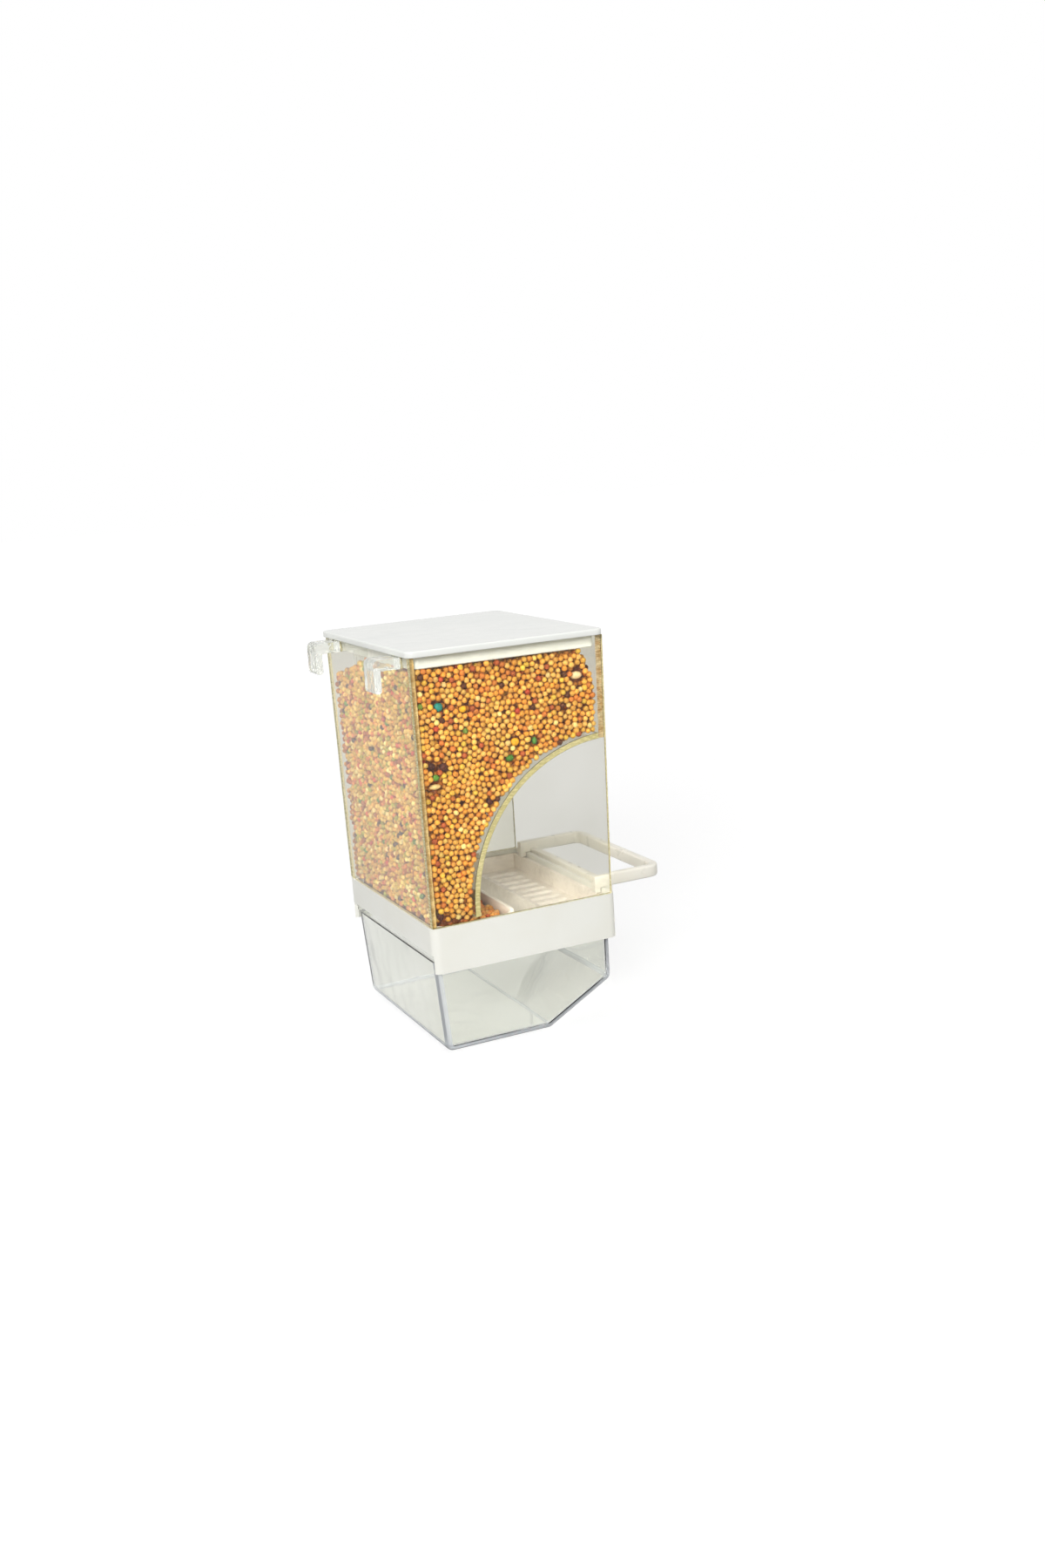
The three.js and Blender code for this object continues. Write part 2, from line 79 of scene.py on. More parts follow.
def rounded_loops(x0, x1, y0, y1, radius, z, steps=corner_steps):
    """Rounded rectangles, one for each row: corner centre + radius * (cos a, sin a), at height z."""
    x0, x1, y0, y1, radius, z = np.broadcast_arrays(*np.atleast_1d(x0, x1, y0, y1, radius, z))
    turn = corner_turns(steps)
    right = np.repeat([True, False, False, True], steps + 1)
    upper = np.repeat([True, True, False, False], steps + 1)
    centre_x = np.where(right, (x1 - radius)[:, None], (x0 + radius)[:, None])
    centre_y = np.where(upper, (y1 - radius)[:, None], (y0 + radius)[:, None])
    x = centre_x + radius[:, None] * np.cos(turn)
    y = centre_y + radius[:, None] * np.sin(turn)
    return joined(x, y, z[:, None])


def net(rows, columns, ring=True):
    """Four-sided faces over a grid of points, row by row; a ring joins its last column to its first."""
    row, column = np.meshgrid(np.arange(rows - 1), np.arange(columns - (not ring)), indexing="ij")
    following = (column + 1) % columns
    here, above = row * columns, (row + 1) * columns
    return joined(here + column, here + following, above + following, above + column).reshape(-1, 4)


def loft(loops, ends=0):
    """Closed shell: the rows of points are joined by faces, and the first and last rows are filled with
    the finish `ends`. Also each group of faces with the number of its finish."""
    rows, columns = loops.shape[:2]
    first = np.arange(columns)[None, :]
    last = first + (rows - 1) * columns
    return loops.reshape(-1, 3), [(net(rows, columns), 0), (first, ends), (last, ends)]


def bar(x0, x1, y0, y1, z0, z1):
    """Straight bar: the rectangle y0..y1 by z0..z1 carried from x0 to x1."""
    y, z = np.array([y0, y1, y1, y0]), np.array([z0, z0, z1, z1])
    return loft(joined(np.array([x0, x1])[:, None], y, z).astype(float))


def bar_pair(x0, x1, y0, y1, z0, z1):
    """A bar y0..y1 from the middle line and its mirror image, the one on the -Y side first."""
    return [bar(x0, x1, *sorted([side * y0, side * y1]), z0, z1) for side in (-1, 1)]


def mesh_of(name, points, groups):
    """Mesh from points in millimetres about the rim's middle: place = rim_middle + point / 1000."""
    sizes = np.concatenate([np.full(len(faces), faces.shape[1]) for faces in groups])
    corners = np.concatenate([faces.ravel() for faces in groups])
    mesh = bpy.data.meshes.new(name)
    mesh.vertices.add(len(points))
    mesh.vertices.foreach_set("co", (points / 1000 + rim_middle).ravel())
    mesh.loops.add(len(corners))
    mesh.loops.foreach_set("vertex_index", corners.astype(np.int32))
    mesh.polygons.add(len(sizes))
    mesh.polygons.foreach_set("loop_start", (np.cumsum(sizes) - sizes).astype(np.int32))
    mesh.polygons.foreach_set("use_smooth", np.ones(len(sizes), bool))
    mesh.update(calc_edges=True)
    return mesh


def added(name, data):
    made = bpy.data.objects.new(name, data)
    bpy.context.scene.collection.objects.link(made)
    return made


def build(name, shells, finishes, edge=0.0, crease=35, segments=2):
    """One object from closed shells: doubles merged, faces outwards, edges eased."""
    points, groups, finish_of, used = [], [], [], 0
    for shell_points, shell_faces in shells:
        points.append(shell_points)
        for faces, finish in shell_faces:
            groups.append(faces + used)
            finish_of.append(np.full(len(faces), finish))
        used += len(shell_points)
    mesh = mesh_of(name, np.concatenate(points), groups)
    for finish in finishes:
        mesh.materials.append(finish)
    mesh.polygons.foreach_set("material_index", np.concatenate(finish_of).astype(np.int32))
    tidy = bmesh.new()
    tidy.from_mesh(mesh)
    bmesh.ops.remove_doubles(tidy, verts=tidy.verts, dist=1e-6)
    bmesh.ops.dissolve_degenerate(tidy, edges=tidy.edges, dist=1e-7)
    bmesh.ops.recalc_face_normals(tidy, faces=tidy.faces)
    tidy.to_mesh(mesh)
    tidy.free()
    piece = added(name, mesh)
    if edge:
        eased = piece.modifiers.new("eased_edges", "BEVEL")
        eased.width, eased.segments = edge / 1000, segments
        eased.limit_method, eased.angle_limit = "ANGLE", math.radians(crease)
        eased.harden_normals = True
    else:
        mesh.set_sharp_from_angle(angle=math.radians(crease))
    return piece


def shade_node(near, kind, inputs, **settings):
    """Adds a shader node to the tree that near is, or is a socket of. Each input is a number, a colour
    or the output that it is linked to."""
    made = near.id_data.nodes.new("ShaderNode" + kind)
    for setting, value in settings.items():
        setattr(made, setting, value)
    for socket, value in inputs.items():
        if isinstance(value, bpy.types.NodeSocket):
            near.id_data.links.new(value, made.inputs[socket])
        else:
            made.inputs[socket].default_value = value
    return made


def colour(red, green, blue):
    """Linear colour from the 0..255 values of a picture: ((c + 0.055) / 1.055) ^ 2.4."""
    share = np.array([red, green, blue]) / 255
    linear = np.where(share > 0.04045, ((share + 0.055) / 1.055) ** 2.4, share / 12.92)
    return (*linear.tolist(), 1.0)


def new_finish(name):
    """Empty node material, and the Object coordinates of the piece that wears it."""
    material = bpy.data.materials.new(name)
    material.use_nodes = True
    material.node_tree.nodes.clear()
    return material, shade_node(material.node_tree, "TexCoord", {}).outputs["Object"]


def blotches(place, size_mm, detail=2.0, roughness=0.5):
    """Soft noise whose patches are size_mm across, 0..1."""
    inputs = {"Vector": place, "Scale": 1000 / size_mm, "Detail": detail, "Roughness": roughness}
    return shade_node(place, "TexNoise", inputs).outputs["Fac"]


def between(factor, low, high, start=0.3, end=0.7):
    """low where factor is at start, high where it is at end, and straight between them."""
    inputs = {"Value": factor, "From Min": start, "From Max": end, "To Min": low, "To Max": high}
    return shade_node(factor, "MapRange", inputs).outputs["Result"]


def tinted(factor, low, high):
    """Colour low where factor is 0 and high where it is 1, both as 0..255 values."""
    inputs = {0: factor, 6: colour(*low), 7: colour(*high)}
    return shade_node(factor, "Mix", inputs, data_type="RGBA").outputs[2]


def relief_of(height, strength, depth):
    """Normal of a face whose relief is height (0..1) times depth, in metres."""
    inputs = {"Height": height, "Strength": strength, "Distance": depth}
    return shade_node(height, "Bump", inputs).outputs["Normal"]


def body_of(surface):
    return shade_node(surface["Base Color"], "BsdfPrincipled", surface).outputs["BSDF"]


def end_shader(shader):
    shade_node(shader, "OutputMaterial", {"Surface": shader})


def moulded_white(name, pale, shade, gloss):
    """Opaque moulded plastic: faint clouds in the colour, a fine mould grain and uneven gloss."""
    material, place = new_finish(name)
    clouds, scuffs, relief = blotches(place, 22, 3), blotches(place, 3.5, 4), blotches(place, 0.35, 2)
    surface = {
        "Base Color": tinted(between(clouds, 0, 1), shade, pale),
        "Roughness": between(scuffs, gloss - 0.05, gloss + 0.07),
        "Normal": relief_of(relief, 0.04, 0.0002),
        "IOR": 1.52,
    }
    end_shader(body_of(surface))
    return material


def skirt_plan(inset):
    """Plan of the skirt drawn in by inset: from one step in its foot round the deep sides to the other
    step, then back along the short band. Also how many points the short band has. Each step is on a
    rounded corner, where its outside has turned in by the wall's thickness: at y = side - wall."""
    radius = base_corner - inset
    loop = rounded_loops(
        base_back + inset, base_front - inset, inset - base_side, base_side - inset, radius, 0,
    )[0]
    past = math.acos((base_corner - base_wall) / base_corner)
    cut = np.array([math.pi / 2 + past, 1.5 * math.pi - past])
    steps = joined(
        base_back + base_corner + radius * np.cos(cut),
        np.array([1, -1]) * (base_side - base_corner) + radius * np.sin(cut), 0,
    )
    turn = corner_turns(corner_steps)
    start, stop = np.flatnonzero((turn > cut[0]) & (turn < cut[1]))[[0, -1]]
    deep = [steps[1:], loop[stop + 1:], loop[:start], steps[:1]]
    short = [steps[:1], loop[start:stop + 1], steps[1:]]
    return np.concatenate(deep + short), stop - start + 3


def base_skirts():
    """The section of the skirt (outside up, over the rim, inside down) carried round the plan. Its foot
    is at -base_depth, and at -band_depth along the short band, with a step where the two meet."""
    (outside, short), (inside, _) = skirt_plan(0), skirt_plan(base_wall)
    foot = np.repeat([-base_depth, -band_depth], [len(outside) - short, short])
    rows = []
    for plan, height in ((outside, foot), (outside, -band_depth), (outside, 0), (inside, 0),
                         (inside, -band_depth), (inside, foot), (outside, foot)):
        rows.append(plan.copy())
        rows[-1][:, 2] = height
    return np.concatenate(rows), [(net(len(rows), len(outside)), 0)]


skirt_inside = base_side - base_wall
end_inside = base_front - base_wall
sink = base_wall / 2
rail_foot = 0.05 - base_depth  # a hair above the skirt's foot, so that the two faces don't coincide
white_base = moulded_white("warm_white_moulding", (240, 240, 233), (235, 234, 224), 0.34)
base_parts = [base_skirts()]
for width, low, high in ((lip_width, lip_top - lip_height, lip_top),
                         (rail_width, rail_foot, rail_height - base_depth)):
    y = skirt_inside - width, skirt_inside + sink
    base_parts += bar_pair(rail_start, end_inside + sink, *y, low, high)
base_parts.append(bar(
    end_inside - lip_width, end_inside + sink, -skirt_inside, skirt_inside,
    lip_top - lip_height, lip_top,
))
base = build("base_skirts", base_parts, [white_base], edge=0.45)
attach(base, "feeder_body")
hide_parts("base_frame")


# Seed trough: a white moulded tray that drops in under the baffle. Its wall towards the bird is the
# low divider that keeps the seed back, with a rim worn smooth and a rounded corner at each end.
trough_back, divider, divider_corner = -31.855, -2.8, 4.0
tray_side, tray_wall, tray_depth, tray_floor = 37.8, 1.4, 9.0, 1.5
crest_height, crest_play, crest_foot, crest_inset, crest_ease = 1.2, 0.25, 1.0, 0.06, 0.3


def open_tray():
    """Rounded rectangles stacked as a tray: floor, outside, over the rim, inside down to the floor."""
    inset = np.array([0, 0, 0, tray_wall, tray_wall])
    z = np.array([-tray_depth, -tray_depth, 0, 0, tray_floor - tray_depth])
    x0, x1, y = trough_back + inset, divider - inset, tray_side - inset
    radius = np.where(inset > 0, divider_corner - tray_wall, divider_corner)
    return loft(rounded_loops(x0, x1, -y, y, radius, z))


def divider_crest():
    """Top of the divider, drawn out of its wall, with ends that are rounded by the crest's height."""
    turn = np.linspace(0, math.pi / 2, 5)
    z = np.concatenate([[-crest_foot], crest_height * np.sin(turn)])
    half = tray_side - tray_wall - crest_play
    y = half - np.concatenate([[0.0], crest_height * (1 - np.cos(turn))])
    inset = np.array([*[crest_inset] * len(turn), crest_ease])
    return loft(rounded_loops(divider - tray_wall + inset, divider - inset, -y, y, crest_ease, z))


white_trough = moulded_white("trough_moulding", (252, 246, 236), (246, 238, 226), 0.34)
trough = build("seed_trough_tray", [open_tray(), divider_crest()], [white_trough], edge=0.3)
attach(trough, "feeder_body")
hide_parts("seed_trough")


# Husk grate: the slotted white tray at the perch end, where the bird stands with its beak and drops
# its husks. It is the CAD piece with its own finish: dust from husks lies on it in grey smudges.
def worked_out(operation, first, second, **settings):
    """Product, difference or the like of two values."""
    return shade_node(first, "Math", {0: first, 1: second}, operation=operation, **settings).outputs[0]


dusty, place = new_finish("dusty_white_moulding")
smudge = blotches(place, 9, 5, 0.62)
streak = shade_node(place, "Mapping", {"Vector": place, "Scale": (0.35, 1.0, 1.0)}).outputs["Vector"]
scratch = blotches(streak, 1.6, 6, 0.7)
dust = between(worked_out("MULTIPLY", smudge, scratch), 0, 1, 0.2, 0.42)
surface = {
    "Base Color": tinted(dust, (253, 246, 235), (229, 221, 208)),
    "Roughness": between(scratch, 0.3, 0.5),
    "Normal": relief_of(scratch, 0.12, 0.0003),
}
end_shader(body_of(surface))
grate_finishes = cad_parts["husk_grate"].data.materials
grate_finishes.clear()
grate_finishes.append(dusty)


# Landing frame: an open white loop in front of the chamber for the bird's toes. Its two arms reach in
# over the end wall of the base and clip behind it, and a lower rear bar lies in front of the wall.
perch_back, perch_front, perch_side = 34.855, 58.0, 31.0
perch_bar, perch_height, perch_corner, perch_ease, rear_ease = 3.0, 4.3, 5.0, 0.7, 0.6
arm_tip, rear_drop, rear_rise, clip_drop, clip_play = 30.6, 2.5, 1.5, 1.5, 0.3
joint_inset = 0.15  # of a piece that ends inside another, so that no two faces coincide


def rounded_section(width, height, radius):
    """Cross-section of a bar: a rounded rectangle about (0, 0), as points (across, up)."""
    return rounded_loops(-width / 2, width / 2, -height / 2, height / 2, radius, 0, steps=3)[0, :, :2]


def swept(path, section, middle):
    """A section carried along a level path: point = path + across * normal, at height middle + up."""
    along = np.gradient(path, axis=0)
    along /= np.linalg.norm(along, axis=1)[:, None]
    normal = joined(along[:, 1], -along[:, 0])
    plan = path[:, None, :] + normal[:, None, :] * section[None, :, :1]
    return loft(joined(plan[..., 0], plan[..., 1], middle + section[:, 1]))


def landing_loop():
    """Path of the loop's middle line: arm, quarter turn, front bar, quarter turn, arm."""
    half, bend = perch_side - perch_bar / 2, perch_corner - perch_bar / 2
    far = perch_front - perch_bar / 2
    turn = np.linspace(-math.pi / 2, 0, 9)
    corner = joined(far - bend + bend * np.cos(turn), -half + bend + bend * np.sin(turn))
    start = joined(np.linspace(arm_tip, far - bend, 6)[:-1], -half)
    one_side = np.concatenate([start, corner])
    return np.concatenate([one_side, one_side[::-1] * [1, -1]])


bar_section = rounded_section(perch_bar, perch_height, perch_ease)
loop_piece = swept(landing_loop(), bar_section, perch_height / 2)
rear_half = perch_side - joint_inset
rear_path = joined(perch_back + perch_bar / 2, np.linspace(-rear_half, rear_half, 9))
rear_section = rounded_section(perch_bar, rear_drop + rear_rise, rear_ease)
rear_piece = swept(rear_path, rear_section, (rear_rise - rear_drop) / 2)
y = perch_side - perch_bar + joint_inset, perch_side - joint_inset
clips = bar_pair(arm_tip + joint_inset, end_inside - clip_play, *y, -clip_drop, perch_height / 2)
white_perch = moulded_white("satin_white_moulding", (236, 233, 223), (231, 227, 214), 0.3)
perch = build("landing_loop", [loop_piece, rear_piece, *clips], [white_perch], edge=0.25)
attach(perch, "feeder_body")
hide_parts("perch_frame")


# Hopper walls: 2 mm clear acrylic sheet, sawn to size and bonded edge to face. The side walls run the
# full length, so their sawn edges show as pale yellow-green strips at the corners. The walls lean in
# about 1 mm towards the foot. A hair of air at each bond keeps two clear surfaces from coinciding.
hopper_length, hopper_width, hopper_height = 68.25, 80.0, 88.7
length_taper, width_taper, sheet, bond = 1.07, 1.0, 2.0, 0.03
chamber_height = 54.0
lamp_share = 0.985  # of a lamp's light, through one face of clear plastic
sheet_index, moulding_index = 1.49, 1.5  # refractive index of clear sheet and of clear mouldings
hook_spacing, notch_half, notch_foot = 57.0, 3.55, 84.7


def inside_x(z):
    """Inner face of an end wall at height z: half the length - sheet - taper * (1 - z / height)."""
    return hopper_length / 2 - sheet - length_taper * (1 - z / hopper_height)


def inside_y(z):
    """Inner face of a side wall at height z: half the width - sheet - taper * (1 - z / height)."""
    return hopper_width / 2 - sheet - width_taper * (1 - z / hopper_height)


def clear_plastic(name, tint, haze, index, wave=0.02, wave_size=14, clearness=1.0):
    """Clear plastic: smooth glass-like surface with faint smears in its gloss and a slow wave in its
    face. Lamp rays go straight through it, so that they reach what is behind it. A clearness under 1
    makes it a little milky."""
    material, place = new_finish(name)
    film, clouds = blotches(place, 18, 4, 0.6), blotches(place, 30, 2)
    surface = {
        "Base Color": tinted(between(clouds, 0, 1), tint, haze),
        "Roughness": between(film, 0.0, 0.03, 0.4, 0.75),
        "IOR": index,
        "Transmission Weight": clearness,
        "Normal": relief_of(blotches(place, wave_size, 1), wave, 0.002),
    }
    passed = {"Color": (*[lamp_share] * 3, 1)}
    through = shade_node(place, "BsdfTransparent", passed).outputs["BSDF"]
    lamp_ray = shade_node(place, "LightPath", {}).outputs["Is Shadow Ray"]
    mixed = {0: lamp_ray, 1: body_of(surface), 2: through}
    end_shader(shade_node(place, "MixShader", mixed).outputs[0])
    return material


def sawn_edge(name, dark, pale, clearness, patch=9.0):
    """Sawn edge of clear sheet: light that travels in the sheet leaves it here, so it looks pale and
    yellow-green, with fine saw marks across it, and takes on some of the colour behind it. Its patches
    of dark and pale are `patch` millimetres across."""
    material, place = new_finish(name)
    stretched = shade_node(place, "Mapping", {"Vector": place, "Scale": (0.25, 0.25, 1.0)})
    marks = blotches(stretched.outputs["Vector"], 0.5, 3)
    clouds = blotches(place, patch, 3)
    surface = {
        "Base Color": tinted(between(clouds, 0, 1, 0.38, 0.62), dark, pale),
        "Roughness": between(marks, 0.24, 0.3),
        "Transmission Weight": clearness,
        "Normal": relief_of(marks, 0.015, 0.0001),
        "IOR": sheet_index,
    }
    end_shader(body_of(surface))
    return material


clear_sheet = clear_plastic("clear_sheet", (248, 247, 240), (241, 240, 231), sheet_index)
sheet_edge = sawn_edge("sawn_sheet_edge", (202, 191, 134), (211, 201, 150), 0.22)
# Painted seed colour: the seams' orange is the seed as it shows through the bonded edges at the corners and
# the front wall's edges.
bonded_seam = sawn_edge("bonded_sheet_seam", (214, 170, 98), (246, 214, 148), 0.15, 2.2)
front_seam = sawn_edge("front_sheet_seam", (184, 142, 86), (226, 206, 166), 0.3, 2.2)


def plate_of(outline, place, seams=()):
    """Sheet cut to an outline: place(u, v, depth) puts it on its wall, at depth 0 and at depth sheet.
    seams are the sides of the outline that are bonded to a neighbour; their finish has the seed's colour
    painted on, as the seed shows through them."""
    u, v = np.array(outline, float).T
    layers = [joined(*place(u, v, depth)) for depth in (0.0, sheet)]
    points, ((edges, _), *faces) = loft(np.array(layers))
    bonded = np.isin(np.arange(len(edges)), seams)
    return points, [(edges[~bonded], 1), (edges[bonded], 2), *faces]


def side_plate(side):
    outline = [
        (-hopper_length / 2 + length_taper, bond), (hopper_length / 2 - length_taper, bond),
        (hopper_length / 2, hopper_height - bond), (-hopper_length / 2, hopper_height - bond),
    ]
    return plate_of(outline, lambda x, z, depth: (x, side * (inside_y(z) + depth), z))


def back_plate():
    """Outline with a notch in the top edge for each hook's tab."""
    top = hopper_height - bond
    outline = [(side * (inside_y(z) - bond), z) for side, z in ((-1, bond), (1, bond), (1, top))]
    for middle in (hook_spacing / 2, -hook_spacing / 2):
        outline += [(middle + notch_half, top), (middle + notch_half, notch_foot)]
        outline += [(middle - notch_half, notch_foot), (middle - notch_half, top)]
    outline.append((-inside_y(top) + bond, top))
    near_end = len(outline) - 1
    return plate_of(outline, lambda y, z, depth: (-inside_x(z) - depth, y, z), (near_end,))


def front_plate():
    low, top = chamber_height, hopper_height - bond
    outline = [(side * (inside_y(z) - bond), z) for side, z in ((-1, low), (1, low), (1, top), (-1, top))]
    return plate_of(outline, lambda y, z, depth: (inside_x(z) + depth, y, z), (1, 3))


for name, node, shell, seam in (
    ("side_sheet_left", "side_wall_left", side_plate(-1), bonded_seam),
    ("side_sheet_right", "side_wall_right", side_plate(1), bonded_seam),
    ("back_sheet", "back_wall", back_plate(), bonded_seam),
    ("front_sheet", "front_wall", front_plate(), front_seam),
):
    wall = build(name, [shell], [clear_sheet, sheet_edge, seam], edge=0.12, segments=1)
    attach(wall, "feeder_body")
    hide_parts(node)


# Curved baffle: the same sheet, heated and bent to a quarter circle between the seed and the bird. It
# is bonded between the side walls and up against the front wall, and its foot hangs just above the
# trough, so that seed runs out under it. The bend has left a slight wave in it.
bend_radius, bend_x, bend_z, baffle_foot = 50.0, 34.9, 4.0, 0.8


def bend_arc(radius, wall_x, steps):
    """Points (x, z) of the bend from its foot to wall_x: centre + radius * (cos a, sin a)."""
    turn = np.linspace(math.pi, math.acos((wall_x - bend_x) / radius), steps)
    return joined(bend_x + radius * np.cos(turn), bend_z + radius * np.sin(turn))


def baffle_shell():
    """Strip between two arcs, r = 50 and 52 mm about the bend's centre, with a straight foot, carried
    across between the side walls: y = +-(inside face - bond)."""
    loops = []
    for radius in (bend_radius, bend_radius + sheet):
        arc = bend_arc(radius, inside_x(chamber_height) - bond, 41)
        loops.append(np.concatenate([[[bend_x - radius, baffle_foot]], arc]))
    x, z = np.concatenate([loops[0], loops[1][::-1]]).T
    y = np.linspace(-1, 1, 9)[:, None] * (inside_y(z) - bond)
    points, ((faces, _), *ends) = loft(joined(x, y, z), ends=1)
    column = faces[:, 0] % len(x)
    sawn = (column == len(loops[0]) - 1) | (column == len(x) - 1)
    return points, [(faces[~sawn], 0), (faces[sawn], 1), *ends]


bent_sheet = clear_plastic(
    "bent_clear_sheet", (247, 247, 238), (240, 240, 228), sheet_index, wave=0.1, wave_size=20,
)
baffle = build("baffle_sheet", [baffle_shell()], [bent_sheet, sheet_edge], edge=0.12, segments=1)
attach(baffle, "feeder_body")
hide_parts("curved_baffle")


# Hooks: two small clear mouldings at the top of the back wall. A tab sits in the wall's notch, and
# the leg hangs behind the cage wire. The leg is fluted, which breaks up the light that it lets through.
hook_width, hook_gap, hook_leg, hook_drop, hook_arm, hook_bend = 9.0, 7.0, 2.5, 7.2, 3.7, 2.0
tab_half, play, flute, tab_gap, face_strip = 3.25, 0.3, 0.35, 0.02, 0.3


def hook_shell(middle):
    """Outline of the hook in XZ carried across its width; the leg's outer face is pushed in by
    flute * (1 - cos) between three ribs."""
    face, seat = -hopper_length / 2, notch_foot
    inner_leg, outer_leg, half_leg = face - hook_gap, face - hook_gap - hook_leg, hook_leg / 2
    top, tip = seat + hook_arm, seat - hook_drop
    outline = [[[face - play, seat], [face - play, top]]]
    for x, z, radius, start, end, steps in (
        (outer_leg + hook_bend, top - hook_bend, hook_bend, math.pi / 2, math.pi, 6),
        (outer_leg + half_leg, tip + half_leg, half_leg, math.pi, 2 * math.pi, 9),
    ):
        turn = np.linspace(start, end, steps)
        outline.append((x, z) + radius * joined(np.cos(turn), np.sin(turn)))
    x, z = np.concatenate([*outline, [[inner_leg, seat]]]).T
    across = np.linspace(-1, 1, 17)[:, None]
    groove = flute * (0.5 - 0.5 * np.cos(2 * math.pi * across)) * (np.abs(across) < 0.999)
    on_leg = x < outer_leg + face_strip
    tab_ends = face - play + tab_gap, face + sheet - play
    tab = bar(*tab_ends, middle - tab_half, middle + tab_half, seat, top)
    return [loft(joined(x + on_leg * groove, middle + across * hook_width / 2, z)), tab]


clear_hook = clear_plastic(
    "clear_hook_moulding", (246, 247, 242), (238, 240, 232), moulding_index, wave=0.2, wave_size=3,
    clearness=0.82,
)
for name, node, middle in (
    ("hook_left_clear", "hook_left", -hook_spacing / 2),
    ("hook_right_clear", "hook_right", hook_spacing / 2),
):
    hook = build(name, hook_shell(middle), [clear_hook], edge=0.3)
    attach(hook, "feeder_body")
    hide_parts(node)


# Seed: millet, mostly tan and orange with a few red, green and dark grains. The grains are laid two
# deep against every clear wall and on top, over a core that stands for the rest of the heap, whose dark
# colour is painted shade.
grain_size = 1.08  # half the size of a common grain, and its three half sizes as shares of that
grain_shape = np.array([1.04, 0.98, 0.9])
grain_room = 1.2  # from a wall to the middle of a grain that lies against it
second_layer, grain_pitch = 2.6, 2.06  # and of a grain behind the first ones; from grain to grain
front_play, behind_play = 0.5, 0.6  # how much the depths of the first and the second layer vary
floor_room, surface_room, end_room = 0.6, 0.5, 0.3  # from floor, heap's surface and end wall to a middle
too_near = 0.9  # how much too near the baffle a grain may lie and be moved out, not left out
special_gap = 0.4  # from a larger piece to the middle of a grain
taken_x, taken_y = 2.7, 2.9  # the room that the grains against an end wall and a side wall take up
shoulder_x, front_z, heap_top, fall_y, side_z = 27.0, 73.5, 84.4, 4.0, 75.3
reach = bend_radius + sheet
millet = (  # share of the grains, colour
    (0.40, (224, 163, 68)), (0.24, (230, 180, 90)), (0.15, (217, 144, 52)), (0.06, (226, 178, 66)),
    (0.07, (202, 120, 48)), (0.03, (238, 206, 128)), (0.025, (176, 87, 40)), (0.005, (190, 71, 40)),
    (0.004, (111, 134, 46)), (0.012, (92, 48, 22)),
)
# Its colours are also duller than millet's: painted haze and shade, for how the seed looks through the back
# wall.
shaded_hook_side_millet = (  # the layer against the hook wall has more green, pink and yellow in it
    (0.34, (215, 164, 74)), (0.18, (232, 194, 106)), (0.12, (203, 170, 68)), (0.07, (168, 160, 64)),
    (0.10, (210, 130, 72)), (0.08, (246, 220, 144)), (0.06, (165, 91, 44)), (0.02, (208, 88, 66)),
    (0.01, (100, 133, 56)), (0.02, (76, 46, 32)),
)
# Painted light: a brighter mix than millet's, for the grains that lie in the open trough.
lit_trough_millet = (  # fresh from under the baffle, in open light
    (0.42, (250, 176, 92)), (0.24, (246, 158, 80)), (0.14, (255, 200, 124)), (0.12, (232, 132, 70)),
    (0.08, (206, 100, 58)),
)
# Light reaches the second layer, and a grain's side towards the heap, off other grains: there is
# less of it, and least of all green and blue. The side's shade begins side_start from the middle.
under_shade, side_shade = np.array([0.62, 0.45, 0.28]), np.array([0.6, 0.38, 0.16])
side_start, side_fade = 0.5, 0.85  # in grain sizes
foot_shade, foot_height = 0.12, 34.0  # of its colour that a grain loses at the heap's foot, up to a height


def heap_height(x, y):
    """Top of the heap: level, falling to the front beyond shoulder_x and to the right beyond fall_y."""
    front = heap_top - (heap_top - front_z) * (x - shoulder_x) / (inside_x(front_z) - shoulder_x)
    side = heap_top - (heap_top - side_z) * (y - fall_y) / (inside_y(side_z) - fall_y)
    return np.minimum(heap_top, np.minimum(front, side))


def spread(width, height, apart, draw):
    """Points over width x height: a triangular lattice shaken by up to 0.6 of its pitch, then eased
    apart from the nearest neighbours until most lie `apart` from each other."""
    across = np.arange(0, width + apart, apart)
    up = np.arange(0, height + apart, apart * math.sqrt(0.75))
    u, v = np.meshgrid(across, up)
    u = u + (np.arange(len(up)) % 2)[:, None] * apart / 2
    at = joined(u.ravel(), v.ravel())
    at += draw.uniform(-0.6, 0.6, at.shape) * apart
    neighbours, rounds, step = 9, 16, 0.3
    gap = np.linalg.norm(at[:, None, :] - at[None, :, :], axis=2).astype(np.float32)
    near = np.argpartition(gap, neighbours, axis=1)[:, :neighbours + 1]
    for _ in range(rounds):
        away = at[:, None, :] - at[near]
        distance = np.linalg.norm(away, axis=2)
        push = np.clip(0.97 * apart - distance, 0, None) * (distance > 1e-9)
        at = at + step * (away / np.maximum(distance, 1e-9)[..., None] * push[..., None]).sum(1)
    return at


def two_layers(u0, u1, v0, v1, draw):
    """A layer of grains against a wall and a second one behind its gaps, over u0..u1 by v0..v1: their
    u, v and depths. A depth over second_layer marks a grain of the second one."""
    front = spread(u1 - u0, v1 - v0, grain_pitch, draw)
    behind = spread(u1 - u0, v1 - v0, grain_pitch * 1.04, draw)
    depth_front = grain_room + front_play * draw.random(len(front)) ** 2
    depth_behind = second_layer + 0.01 + behind_play * draw.random(len(behind))
    u, v = (np.concatenate([front, behind]) + [u0, v0]).T
    return u, v, np.concatenate([depth_front, depth_behind])


def clear_of_bend(x, z):
    """Grains that lie too near the baffle are moved out to reach + grain_room from the bend's centre.
    Returns their places and which of them are in the heap."""
    rise = np.maximum(z - bend_z, 0)
    distance = np.hypot(x - bend_x, rise)
    out = np.maximum(distance, reach + grain_room) / distance
    in_heap = (distance > reach + grain_room - too_near) & (x < bend_x + distance)
    return bend_x + (x - bend_x) * out, z + rise * (out - 1), in_heap


